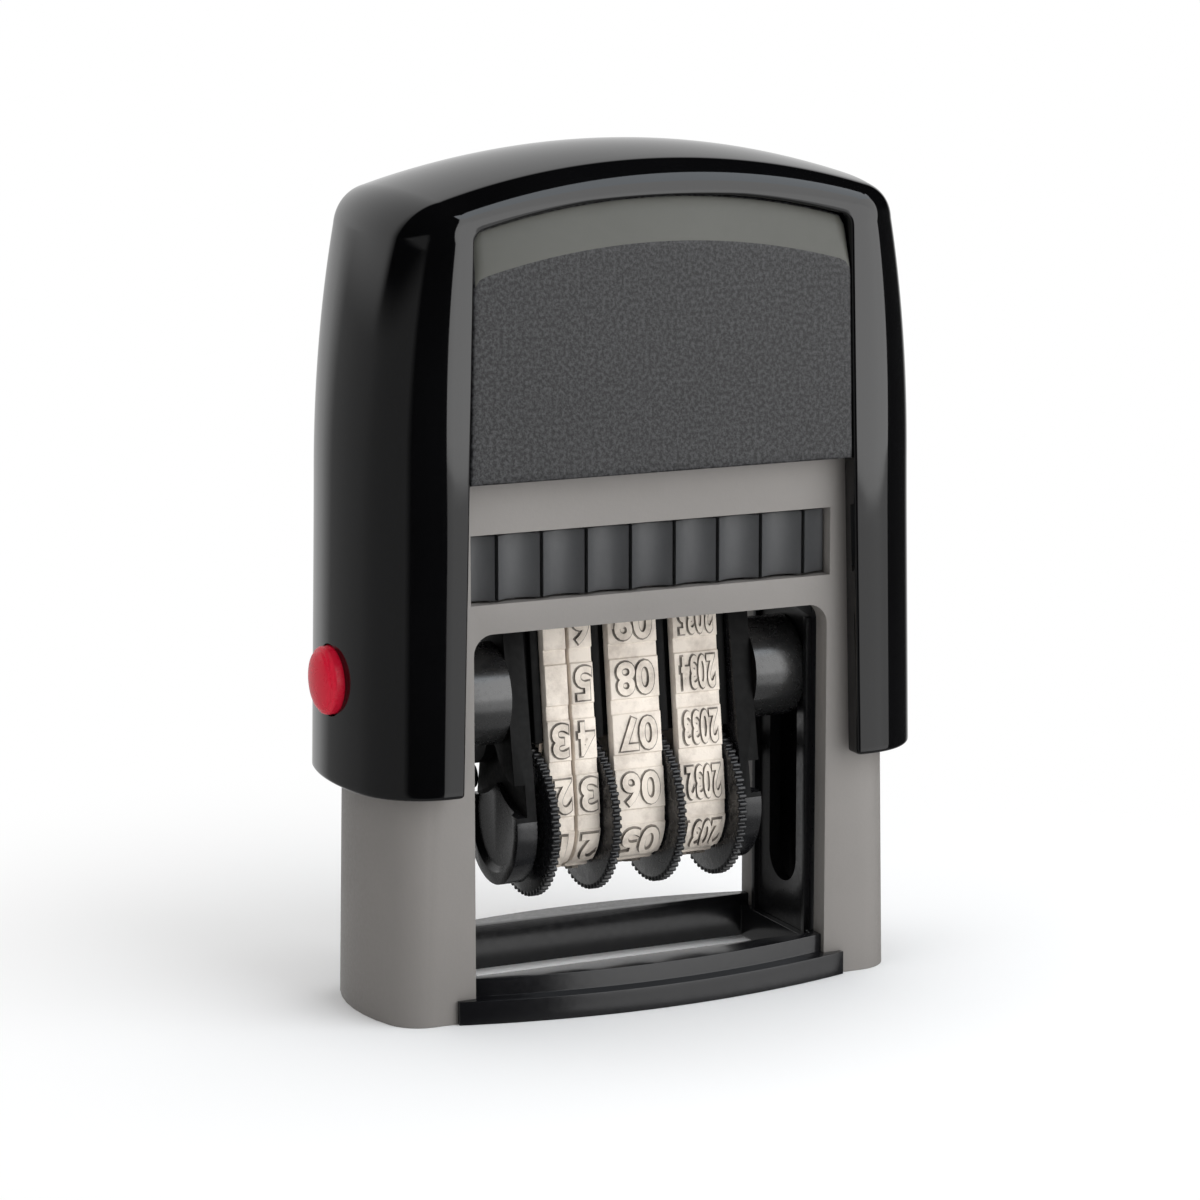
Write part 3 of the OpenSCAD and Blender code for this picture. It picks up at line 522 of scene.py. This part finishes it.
class Opening:
    """The label opening's front view: a flared side, a corner arc and an arch parallel to the cap's top."""

    def __init__(self, outline):
        self.outline = outline
        self.arch, self.arch_r = outline.arch, ARCH_R - TOP_BORDER
        cos, sin = math.cos(OPEN_FLARE), math.sin(OPEN_FLARE)
        k = OPEN_HALF_W * cos + CAP_FOOT_Z * sin - OPEN_CORNER_R
        reach = self.arch_r - OPEN_CORNER_R
        m = self.arch.y * cos + math.sqrt(reach ** 2 - (k - self.arch.y * sin) ** 2)
        self.corner = Vector((k * cos - m * sin, k * sin + m * cos))
        self.corner_end = math.atan2(*(self.corner - self.arch).yx)
        self.top_z = arc_point(self.corner, OPEN_CORNER_R, OPEN_FLARE)[1]
        self.share = (self.top_z - CAP_FOOT_Z) / (outline.at("flank", 1)[1] - CAP_FOOT_Z)

    def side_x(self, z):
        """Half the width of the opening at a height."""
        return OPEN_HALF_W - math.tan(OPEN_FLARE) * (z - CAP_FOOT_Z)

    def at(self, stretch, t):
        """The point of the opening's edge that faces the outline's point."""
        if stretch in ("side", "flank"):
            z = CAP_FOOT_Z + (self.outline.at(stretch, t)[1] - CAP_FOOT_Z) * self.share
            return (self.side_x(z), z)
        if stretch == "corner":
            return arc_point(self.corner, OPEN_CORNER_R, blend_value(OPEN_FLARE, self.corner_end, t))
        return arc_point(self.arch, self.arch_r, blend_value(self.corner_end, math.pi / 2, t))

    def top_at(self, x, gap):
        """The height of the opening's upper edge at x, less a gap."""
        x = abs(x)
        corner_r = OPEN_CORNER_R - gap
        if x > self.corner.x + corner_r * math.cos(self.corner_end):
            return self.corner.y + math.sqrt(max(0.0, corner_r ** 2 - (x - self.corner.x) ** 2))
        return self.arch.y + math.sqrt((self.arch_r - gap) ** 2 - x * x)


OUTER = Outline()
OPENING = Opening(OUTER)

# The cap's stretches, with their lengths as the legs' section turns into the top's
STRETCHES = {"side": (0.0, 4.0), "flank": (4.0, 5.0), "corner": (9.0, 5.0), "top": (14.0, 0.0)}
BLEND_FROM = 3.0
BLEND_TO = 14.0


def top_share(stretch, t):
    """How much of the top's section a place has: none low on the legs, all on the top."""
    start, length = STRETCHES[stretch]
    u = max(0.0, min(1.0, (start + length * t - BLEND_FROM) / (BLEND_TO - BLEND_FROM)))
    return u * u * (3 - 2 * u)


def quarter_section(crown_r, edge_r, half_d, inset):
    """A quarter of the wall's section, as depths from the outline and places across."""
    dy = half_d - edge_r
    dx = math.sqrt((crown_r - edge_r) ** 2 - dy ** 2)
    end = math.atan2(dy, dx)
    points = []
    for i in range(BULGE_STEPS):
        a = end * i / BULGE_STEPS
        points.append((inset + crown_r * (1 - math.cos(a)), crown_r * math.sin(a)))
    for i in range(EDGE_STEPS + 1):
        a = blend_value(end, math.pi / 2, i / EDGE_STEPS)
        points.append((inset + crown_r - dx - edge_r * math.cos(a), dy + edge_r * math.sin(a)))
    return points


def wall_section(share, width, thinned):
    """The closed section of the cap's wall, with a rounded lip at the opening; it is thinned at the feet."""
    crown_r = blend_value(CAP_BULGE_R, TOP_CROWN_R, share)
    edge_r = blend_value(CAP_EDGE_R, TOP_EDGE_R, share)
    face_d = CAP_HALF_D - thinned
    back_d = CAP_HALF_D - CAP_WALL + thinned
    width = width - thinned
    outer = quarter_section(crown_r - thinned, edge_r - thinned, face_d, thinned)
    inner = quarter_section(crown_r - CAP_WALL + thinned, edge_r - CAP_WALL + thinned,
                            back_d, CAP_WALL - thinned)
    lip_r = min(LIP_R, LIP_SHARE * (width - outer[-1][0]))
    lip = [(width - lip_r + lip_r * math.sin(a), face_d - lip_r + lip_r * math.cos(a))
           for a in (math.pi / 2 * i / LIP_STEPS for i in range(LIP_STEPS + 1))]
    front = outer + lip + [(width, back_d)] + inner[::-1]
    return front + [(d, -y) for d, y in front[-2:0:-1]]


def cap_ring(stretch, t, side):
    """The wall's section at share t of a stretch, on the right side or mirrored to the left."""
    a = Vector(OUTER.at(stretch, t))
    b = Vector(OPENING.at(stretch, t))
    width = (b - a).length
    above_foot = a.y - CAP_FOOT_Z
    thinned = 0.0
    if above_foot < FOOT_BEVEL:
        thinned = FOOT_BEVEL - math.sqrt(FOOT_BEVEL ** 2 - (FOOT_BEVEL - above_foot) ** 2)
    ring = []
    for depth, across in wall_section(top_share(stretch, t), width, thinned):
        p = a.lerp(b, min(depth, width) / width)
        ring.append((side * p.x, across, p.y))
    return ring


def cut(obj, cutter):
    """Cuts a helper object out of obj and removes the helper."""
    boolean = obj.modifiers.new("cut", "BOOLEAN")
    boolean.operation = "DIFFERENCE"
    boolean.solver = "MANIFOLD"
    boolean.object = cutter
    baked(obj)
    bpy.data.objects.remove(cutter)


def rod_along_x(name, x0, x1, radius, z):
    """A helper rod in millimetres."""
    work = bmesh.new()
    turn = Matrix.Translation(Vector(((x0 + x1) / 2, 0, z)) * MM) @ Matrix.Rotation(math.pi / 2, 4, "Y")
    bmesh.ops.create_cone(work, cap_ends=True, segments=ROD_SIDES, radius1=radius * MM,
                          radius2=radius * MM, depth=abs(x1 - x0) * MM, matrix=turn)
    mesh = bpy.data.meshes.new(name)
    work.to_mesh(mesh)
    work.free()
    return new_object(name, mesh)


def close_lip(work, row):
    """Closes the wall's lower end between its outer and inner points, on both halves."""
    n = BULGE_STEPS + EDGE_STEPS + 1
    last = 2 * n + LIP_STEPS + 1
    for half in (lambda k: row[k], lambda k: row[-k]):
        for k in range(n - 1):
            work.faces.new([half(i) for i in (k, k + 1, last - k - 1, last - k)])
        work.faces.new([half(i) for i in range(n - 1, n + LIP_STEPS + 3)])


def make_cap():
    """The cap's shell with rounded feet and a hole for each button."""
    side_h = FLANK_Z - CAP_FOOT_Z
    places = [("side", FOOT_BEVEL * (1 - math.cos(math.radians(a))) / side_h) for a in FOOT_ANGLES]
    for stretch, n in CAP_STEPS.items():
        first = 1 if stretch == "side" else 0
        places += [(stretch, i / n) for i in range(first, n)]
    places.append(("top", 1.0))
    rings = [cap_ring(s, t, 1) for s, t in places] + [cap_ring(s, t, -1) for s, t in places[-2::-1]]
    work, rows = lofted(rings)
    for row in (rows[0], rows[-1]):
        close_lip(work, row)
    bmesh.ops.recalc_face_normals(work, faces=work.faces)
    mesh = bpy.data.meshes.new("cap_finished")
    work.to_mesh(mesh)
    work.free()
    cap = new_object("cap_finished", mesh, GLOSS_BLACK)
    face_x = OUTER.side_x(BUTTON_Z)
    for side in (-1, 1):
        inner, outer = side * (face_x - HOLE_REACH), side * (face_x + HOLE_REACH)
        cut(cap, rod_along_x("button_hole", inner, outer, BUTTON_R + BUTTON_GAP, BUTTON_Z))
    smooth_by_angle(cap.data, CAP_SHARP)
    place(cap, "cap", "cap", "cap_shell")


# The ink tray's front

def score_flutes(tray):
    """Cuts a narrow groove along each ridge between the tray's flutes."""
    low, high = (Vector(p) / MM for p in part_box("ink_tray"))
    grooves = bmesh.new()
    for k in range(FLUTE_COUNT + 1):
        centre = Vector(((k - FLUTE_COUNT / 2) * FLUTE_PITCH, low.y, (low.z + high.z) / 2))
        sides = Matrix.Diagonal((GROOVE_W, 2 * GROOVE_D, high.z - low.z + 2, 1))
        bmesh.ops.create_cube(grooves, size=MM, matrix=Matrix.Translation(centre * MM) @ sides)
    mesh = bpy.data.meshes.new("flute_grooves")
    grooves.to_mesh(mesh)
    grooves.free()
    cut(tray, new_object("flute_grooves", mesh))
    smooth_by_angle(tray.data)


# The label plates: a flat grained face whose upper end rolls back under the cap's border

def make_label(name, node, side):
    """A plate at the front (side 1) or the rear (side -1), with the grain below and the pale band above."""
    face_rows, rows, columns = LABEL_FACE_ROWS, LABEL_ROWS, LABEL_COLUMNS
    back = CAP_HALF_D - CAP_WALL - LABEL_BACK_GAP
    work = bmesh.new()
    front_grid, back_grid = [], []
    for j in range(rows + 1):
        up = min(1.0, j / face_rows)
        rolled = max(0.0, (j - face_rows) / (rows - face_rows))
        front_row, back_row = [], []
        for i in range(columns + 1):
            u = 2 * i / columns - 1
            x = u * (OPENING.side_x(blend_value(LABEL_Z, OPENING.top_z, j / rows)) - LABEL_GAP)
            face_top = OPENING.top_at(x, LABEL_GAP) - LABEL_ROLL_H
            z = blend_value(LABEL_Z, face_top, up) + LABEL_ROLL_H * rolled
            y = CAP_HALF_D - LABEL_SETBACK - LABEL_ROLL_D * rolled ** LABEL_ROLL_POWER
            front_row.append(work.verts.new(Vector((x, -side * y, z)) * MM))
            back_row.append(work.verts.new(Vector((x, -side * back, z)) * MM))
        front_grid.append(front_row)
        back_grid.append(back_row)
    for grid in (front_grid, back_grid):
        for j in range(rows):
            for i in range(columns):
                face = work.faces.new((grid[j][i], grid[j][i + 1], grid[j + 1][i + 1], grid[j + 1][i]))
                face.material_index = 1 if j >= face_rows else 0
    border = ([(j, 0) for j in range(rows)] + [(rows, i) for i in range(columns)]
              + [(j, columns) for j in range(rows, 0, -1)] + [(0, i) for i in range(columns, 0, -1)])
    rim_edges = []
    for (j0, i0), (j1, i1) in zip(border, border[1:] + border[:1]):
        work.faces.new((front_grid[j0][i0], front_grid[j1][i1], back_grid[j1][i1], back_grid[j0][i0]))
        rim_edges.append(work.edges.get((front_grid[j0][i0], front_grid[j1][i1])))
    bmesh.ops.recalc_face_normals(work, faces=work.faces)
    bmesh.ops.bevel(work, geom=rim_edges, offset=LABEL_EDGE_R * MM, segments=3, profile=0.5,
                    affect="EDGES")
    mesh = bpy.data.meshes.new(name)
    work.to_mesh(mesh)
    work.free()
    plate = new_object(name, mesh, LABEL_GRAIN, LABEL_BAND)
    smooth_by_angle(mesh)
    place(plate, "cap", "label", node)


# The lock buttons: a turned dome with a rounded edge

def make_button(name, node, body, side):
    """A button turned from a profile of radii and places along X, with a flange inside the cap."""
    low, high = (Vector(p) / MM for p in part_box(node))
    inner = min(abs(low.x), abs(high.x))
    tip = OUTER.side_x(BUTTON_Z) + BUTTON_OUT
    flange_r, flange_x = BUTTON_R + BUTTON_FLANGE, inner + BUTTON_FLANGE_T
    profile = [(flange_r, inner), (flange_r, flange_x), (BUTTON_R, flange_x)]
    edge_r, shoulder = BUTTON_EDGE_R, tip - BUTTON_CROWN
    for i in range(EDGE_TURN_STEPS + 1):
        a = math.pi / 2 * i / EDGE_TURN_STEPS * EDGE_TURN
        profile.append((BUTTON_R - edge_r + edge_r * math.cos(a), shoulder - edge_r + edge_r * math.sin(a)))
    crown_r, crown_x = profile[-1]
    for i in range(1, CROWN_STEPS):
        a = math.pi / 2 * i / CROWN_STEPS
        profile.append((crown_r * math.cos(a), crown_x + (tip - crown_x) * math.sin(a)))
    turns = [2 * math.pi * k / TURN_STEPS for k in range(TURN_STEPS)]
    rings = [[(side * x, r * math.cos(a), BUTTON_Z + r * math.sin(a)) for a in turns] for r, x in profile]
    work, rows = lofted(rings)
    pole = work.verts.new(Vector((side * tip, 0, BUTTON_Z)) * MM)
    for k in range(TURN_STEPS):
        work.faces.new((rows[-1][k], rows[-1][(k + 1) % TURN_STEPS], pole))
    work.faces.new(rows[0])
    bmesh.ops.recalc_face_normals(work, faces=work.faces)
    mesh = bpy.data.meshes.new(name)
    work.to_mesh(mesh)
    work.free()
    button = new_object(name, mesh, BUTTON_RED)
    smooth_by_angle(mesh, BUTTON_SHARP)
    place(button, body, "button", node)


# The date bands: a rubber loop over the platen and the wheel, with raised mirrored numerals

class Loop:
    """The band's path round the platen's nose and the wheel, by length from the nose's middle."""

    def __init__(self):
        self.nose_top = PRINT_H - TYPE_H - BAND_T
        self.nose = Vector((NOSE_FLAT, self.nose_top - NOSE_R))
        self.wheel = Vector((0, -AXLE_DROP))
        run = self.wheel - self.nose
        grow = BAND_IN_R - NOSE_R
        self.run_l = math.sqrt(run.length ** 2 - grow ** 2)
        self.run_a = math.asin(grow / run.length) - math.atan2(NOSE_FLAT, -run.y)
        self.nose_l = (NOSE_R + BAND_T) * (math.pi / 2 - self.run_a)
        self.wheel_l = (BAND_IN_R + BAND_T) * (math.pi / 2 + self.run_a)
        self.half = NOSE_FLAT + self.nose_l + self.run_l + self.wheel_l

    def at(self, s, d):
        """The point (Y, Z from the pivot) at length s, a distance d outside the band's inner face."""
        s %= 2 * self.half
        if s > self.half:
            p = self.at(2 * self.half - s, d) if s < 2 * self.half else self.at(0, d)
            return Vector((-p.x, p.y))
        if s < NOSE_FLAT:
            return Vector((s, self.nose_top + d))
        s -= NOSE_FLAT
        if s < self.nose_l:
            a = math.pi / 2 - s / (NOSE_R + BAND_T)
            return Vector(arc_point(self.nose, NOSE_R + d, a))
        s -= self.nose_l
        if s < self.run_l:
            start = Vector(arc_point(self.nose, NOSE_R + d, self.run_a))
            end = Vector(arc_point(self.wheel, BAND_IN_R + d, self.run_a))
            return start.lerp(end, s / self.run_l)
        a = self.run_a - (s - self.run_l) / (BAND_IN_R + BAND_T)
        return Vector(arc_point(self.wheel, BAND_IN_R + d, a))


LOOP = Loop()
PITCH = 2 * LOOP.half / TYPE_COUNT


def on_band(x, s, d):
    """The point in metres at x, length s and a distance d outside the band's inner face."""
    p = LOOP.at(s, d)
    return Vector((x, p.x, PIVOT_Z + p.y)) * MM


def glyph_mesh(text, height, width, weight):
    """Flat letters of the built-in font, height high and at most width wide, as a mesh in millimetres."""
    curve = bpy.data.curves.new("glyph", "FONT")
    curve.body = text
    curve.align_x = "CENTER"
    # Its thickness only tells the faces from the backs
    curve.extrude = 0.5
    curve.offset = weight
    curve.resolution_u = GLYPH_STEPS
    helper = bpy.data.objects.new("glyph", curve)
    bpy.context.scene.collection.objects.link(helper)
    graph = bpy.context.evaluated_depsgraph_get()
    mesh = bpy.data.meshes.new_from_object(helper.evaluated_get(graph))
    bpy.data.objects.remove(helper)
    bpy.data.curves.remove(curve)
    xs = [v.co.x for v in mesh.vertices]
    ys = [v.co.y for v in mesh.vertices]
    tall = height / (max(ys) - min(ys))
    wide = min(tall, width / (max(xs) - min(xs)))
    mid_x, mid_y = (max(xs) + min(xs)) / 2, (max(ys) + min(ys)) / 2
    for v in mesh.vertices:
        v.co = Vector(((v.co.x - mid_x) * wide, (v.co.y - mid_y) * tall, v.co.z))
    return mesh


def add_numeral(work, text, x_mid, s_mid, width, rise, edge=0.0):
    """Wraps one mirrored numeral onto the band at length s_mid.

    Its sides and its dark halo, partly ink and partly painted shade, are in material slot 1, its face in slot
    2.
    """
    weight = TYPE_WEIGHT + edge / DIGIT_H * INK_SHADE_WEIGHT
    mesh = glyph_mesh(text, DIGIT_H + 2 * edge, width + 2 * edge, weight)
    glyph = bmesh.new()
    glyph.from_mesh(mesh)
    bpy.data.meshes.remove(mesh)
    # Cuts across the numeral let it bend with the band
    for k in range(1 - GLYPH_CUTS // 2, GLYPH_CUTS // 2):
        geom = glyph.verts[:] + glyph.edges[:] + glyph.faces[:]
        across = (0, k * DIGIT_H / GLYPH_CUTS, 0)
        bmesh.ops.bisect_plane(glyph, geom=geom, plane_co=across, plane_no=(0, 1, 0))
    made = {}
    for v in glyph.verts:
        height = BAND_T + (rise if v.co.z > 0 else 0.0)
        # The type is mirrored across the band, and its foot points away from the nose
        made[v] = work.verts.new(on_band(x_mid - v.co.x, s_mid - v.co.y, height))
    for face in glyph.faces:
        if all(v.co.z < 0 for v in face.verts):
            continue
        try:
            new = work.faces.new([made[v] for v in reversed(face.verts)])
        except ValueError:
            # The same face is there already
            continue
        new.material_index = 2 if not edge and all(v.co.z > 0 for v in face.verts) else 1
    glyph.free()


def band_stations():
    """Lengths round the band with the height of its face there: a raised block under each numeral."""
    stations = []
    half = BLOCK_L / 2
    gap = PITCH - BLOCK_L - 2 * BLOCK_SLOPE
    for k in range(TYPE_COUNT):
        s = k * PITCH
        stations += [(s - half + BLOCK_L * i / BLOCK_STEPS, BLOCK_H) for i in range(BLOCK_STEPS + 1)]
        stations += [(s + half + BLOCK_SLOPE + gap * i / GAP_STEPS, 0.0) for i in range(GAP_STEPS + 1)]
    return stations


def make_band(name, node, texts):
    """A band with its numerals, the first of them on the nose."""
    low, high = (Vector(p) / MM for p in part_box(node))
    x0, x1 = low.x, high.x
    edge, chamfer = BAND_EDGE, 0.3 * BAND_EDGE
    work = bmesh.new()
    rows = []
    for s, rise in band_stations():
        top = BAND_T + rise
        section = [(x0, 0.0), (x0, top - edge), (x0 + chamfer, top - chamfer), (x0 + edge, top),
                   (x1 - edge, top), (x1 - chamfer, top - chamfer), (x1, top - edge), (x1, 0.0)]
        rows.append([work.verts.new(on_band(x, s, d)) for x, d in section])
    for a, b in zip(rows, rows[1:] + rows[:1]):
        for k in range(len(a)):
            m = (k + 1) % len(a)
            work.faces.new((a[k], b[k], b[m], a[m]))
    bmesh.ops.recalc_face_normals(work, faces=work.faces)
    width = (x1 - x0) * TYPE_SHARE - INK_SHADE_EDGE
    for k, text in enumerate(texts):
        if text:
            # First a flat dark halo round each numeral, partly ink and partly painted shade, then the numeral
            # raised over it
            for rise, ink_shade_edge in ((BLOCK_H + INK_SHADE_RISE, INK_SHADE_EDGE), (TYPE_H, 0.0)):
                add_numeral(work, text, (x0 + x1) / 2, k * PITCH, width, rise, ink_shade_edge)
    mesh = bpy.data.meshes.new(name)
    work.to_mesh(mesh)
    work.free()
    band = new_object(name, mesh, BAND_CREAM, TYPE_INK_AND_SHADE, TYPE_CREAM)
    smooth_by_angle(mesh, BAND_SHARP)
    place(band, "carriage", "band", node)


# Pieces

make_cap()
make_label("front_label_finished", "front_label_plate", 1)
make_label("rear_label_finished", "rear_label_plate", -1)
make_button("left_button_finished", "left_lock_button", "left_button", -1)
make_button("right_button_finished", "right_lock_button", "right_button", 1)

make_band("day_tens_finished", "day_tens_band", 2 * ["0", "1", "2", "3", "", ""])
make_band("day_units_finished", "day_units_band", ["7", "8", "9", "", "", *"0123456"])
make_band("month_finished", "month_band", [f"{(k + 9) % 12 + 1:02d}" for k in range(TYPE_COUNT)])
make_band("year_finished", "year_band", [str(2024 + k) for k in range(TYPE_COUNT)])

shade_leg_hollows(dressed("housing", "housing_body", "housing", HOUSING_GREY, 0.22))
dressed("base_ring", "housing_body", "base", BASE_BLACK, 0.25, reshape=lift_front_bar)
for hand in ("left", "right"):
    dressed(hand + "_guide_insert", "housing_body", "inner", SATIN_BLACK, 0.1)
score_flutes(dressed("ink_tray", "ink_cartridge", "tray", TRAY_CHARCOAL, 0.16))
dressed("ink_pad", "ink_cartridge", "felt", FELT, 0.3)
dressed("drive_yoke", "cap", "inner", SATIN_BLACK, 0.3)
for hand in ("left", "right"):
    paint_plate_shade_and_light(dressed(hand + "_carriage_plate", "carriage", "carriage", CARRIAGE_BLACK, 0.22))
dressed("platen", "carriage", "carriage", PAINTED_SHADE_BLACK, 0.1)
dressed("wheel_axle", "carriage", "axle", STEEL, 0.15)
spring = dressed("return_spring", "housing_body", "spring", STEEL, 0)
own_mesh(spring)
for wheel in ("day_tens", "day_units", "month", "year"):
    dressed(wheel + "_wheel", wheel, "wheel", WHEEL_BLACK, 0.08, 2)


# Floor, light and camera

def grey(tone):
    """A neutral colour."""
    return (tone, tone, tone, 1.0)


def make_floor():
    """A pale floor that fades to plain white away from the stamp, for the camera only."""
    bpy.ops.mesh.primitive_plane_add(size=FLOOR_SIZE * MM, location=(0, 0, -FLOOR_DROP * MM))
    floor = bpy.context.object
    floor.name = "floor"
    material, tree, bsdf, coord = shader("pale_floor")
    bsdf.inputs["Base Color"].default_value = grey(FLOOR_TONE)
    bsdf.inputs["Roughness"].default_value = 0.9
    bsdf.inputs["Specular IOR Level"].default_value = 0.1
    length = tree.nodes.new("ShaderNodeVectorMath")
    length.operation = "LENGTH"
    tree.links.new(coord, length.inputs[0])
    fade = tree.nodes.new("ShaderNodeMapRange")
    fade.interpolation_type = "SMOOTHSTEP"
    fade.inputs["From Min"].default_value = FADE_FROM * MM
    fade.inputs["From Max"].default_value = FADE_TO * MM
    tree.links.new(length.outputs["Value"], fade.inputs["Value"])
    path = tree.nodes.new("ShaderNodeLightPath")
    seen = tree.nodes.new("ShaderNodeMath")
    seen.operation = "MULTIPLY"
    tree.links.new(fade.outputs["Result"], seen.inputs[0])
    tree.links.new(path.outputs["Is Camera Ray"], seen.inputs[1])
    white = tree.nodes.new("ShaderNodeEmission")
    clear = tree.nodes.new("ShaderNodeBsdfTransparent")
    surface = bsdf.outputs["BSDF"]
    for factor, other in ((seen.outputs["Value"], white.outputs["Emission"]),
                          (path.outputs["Is Glossy Ray"], clear.outputs["BSDF"])):
        mix = tree.nodes.new("ShaderNodeMixShader")
        tree.links.new(factor, mix.inputs["Fac"])
        tree.links.new(surface, mix.inputs[1])
        tree.links.new(other, mix.inputs[2])
        surface = mix.outputs["Shader"]
    tree.links.new(surface, tree.nodes["Material Output"].inputs["Surface"])
    floor.data.materials.append(material)


def make_world():
    """White to the camera.

    To the stamp it is a grey room: pale behind, dark overhead, to the right and behind the camera.
    """
    world = bpy.data.worlds.new("studio")
    bpy.context.scene.world = world
    world.use_nodes = True
    tree = world.node_tree
    coord = tree.nodes.new("ShaderNodeTexCoord").outputs["Generated"]
    toward = tree.nodes.new("ShaderNodeVectorMath")
    toward.operation = "DOT_PRODUCT"
    toward.inputs[1].default_value = (math.sin(DARK_SIDE), -math.cos(DARK_SIDE), 0.0)
    tree.links.new(coord, toward.inputs[0])
    scale = tree.nodes.new("ShaderNodeMapRange")
    scale.inputs["From Min"].default_value = -1.0
    tree.links.new(toward.outputs["Value"], scale.inputs["Value"])
    room = tree.nodes.new("ShaderNodeValToRGB")
    while len(room.color_ramp.elements) < len(WALL_TONES):
        room.color_ramp.elements.new(0.5)
    for element, (share, tone) in zip(room.color_ramp.elements, WALL_TONES):
        element.position = share
        element.color = grey(tone)
    tree.links.new(scale.outputs["Result"], room.inputs["Fac"])
    split = tree.nodes.new("ShaderNodeSeparateXYZ")
    tree.links.new(coord, split.inputs["Vector"])

    path = tree.nodes.new("ShaderNodeLightPath")

    def step(value, low, high):
        """Rises smoothly from 0 at low to 1 at high."""
        node = tree.nodes.new("ShaderNodeMapRange")
        node.interpolation_type = "SMOOTHSTEP"
        node.inputs["From Min"].default_value = low
        node.inputs["From Max"].default_value = high
        tree.links.new(value, node.inputs["Value"])
        return node.outputs["Result"]

    def mixed(factor, a, b):
        """The colour a where factor is 0, and b where it is 1."""
        node = tree.nodes.new("ShaderNodeMix")
        node.data_type = "RGBA"
        for socket, value in (("Factor", factor), ("A", a), ("B", b)):
            if isinstance(value, bpy.types.NodeSocket):
                tree.links.new(value, node.inputs[socket])
            else:
                node.inputs[socket].default_value = value
        return node.outputs["Result"]

    overhead = mixed(step(split.outputs["Y"], *BACK_WALL), grey(0.0), grey(PALE))
    walls = mixed(step(split.outputs["X"], *RIGHT_WALL), room.outputs["Color"], grey(RIGHT_TONE))
    shown = mixed(step(split.outputs["Z"], *HORIZON), walls, overhead)
    lit = mixed(path.outputs["Is Glossy Ray"], grey(AMBIENT), shown)
    final = mixed(path.outputs["Is Camera Ray"], lit, grey(1.0))
    tree.links.new(final, tree.nodes["Background"].inputs["Color"])


def softbox(name, place_mm, aim_mm, size_mm, power, mirrored=False, colour=(1.0, 1.0, 1.0)):
    """A rectangular area light aimed at a point; only a mirrored one shows in glossy surfaces."""
    light = bpy.data.lights.new(name, "AREA")
    light.shape = "RECTANGLE"
    light.size, light.size_y = (s * MM for s in size_mm)
    light.energy = power
    light.color = colour
    lamp = bpy.data.objects.new(name, light)
    bpy.context.scene.collection.objects.link(lamp)
    lamp.visible_glossy = mirrored
    lamp.location = Vector(place_mm) * MM
    lamp.rotation_euler = (Vector(aim_mm) - Vector(place_mm)).to_track_quat("-Z", "Y").to_euler()


def make_camera():
    """A camera that sees the stamp as the photograph does."""
    camera = bpy.data.objects.new("camera", bpy.data.cameras.new("camera"))
    bpy.context.scene.collection.objects.link(camera)
    level = math.cos(VIEW_ELEVATION)
    look = Vector((math.sin(VIEW_AZIMUTH) * level, math.cos(VIEW_AZIMUTH) * level, -math.sin(VIEW_ELEVATION)))
    camera.location = (Vector(VIEW_TARGET) - look * VIEW_DISTANCE) * MM
    camera.rotation_euler = look.to_track_quat("-Z", "Y").to_euler()
    camera.data.sensor_width = SENSOR
    camera.data.lens = FOCAL_PX / PHOTO_SIZE * SENSOR
    camera.data.shift_x = (PHOTO_SIZE / 2 - TARGET_PX[0]) / PHOTO_SIZE
    camera.data.shift_y = (TARGET_PX[1] - PHOTO_SIZE / 2) / PHOTO_SIZE
    camera.data.clip_start = NEAR_CLIP * MM
    bpy.context.scene.camera = camera


make_floor()
make_world()
softbox("window", (196, -261, 124), (23, -10, 124), (374, 264), power=0.86, mirrored=True)
softbox("sill", (196, -261, -36), (23, -10, -36), (374, 56), power=0.07, mirrored=True)
softbox("apron", (196, -261, -104), (23, -10, -104), (374, 80), power=0.11, mirrored=True)
softbox("sky", (165.9, -217.3, 309), (45.6, -42.7, 96.9), (374, 150), power=0.54, mirrored=True,
        colour=(0.88, 0.94, 1.0))
softbox("left", (-380, -120, 260), (0, 0, 35), (300, 300), power=0.28)
softbox("top", (0, 60, 460), (0, 0, 60), (420, 260), power=1.1)
make_camera()
bpy.context.scene.view_settings.view_transform = "Standard"
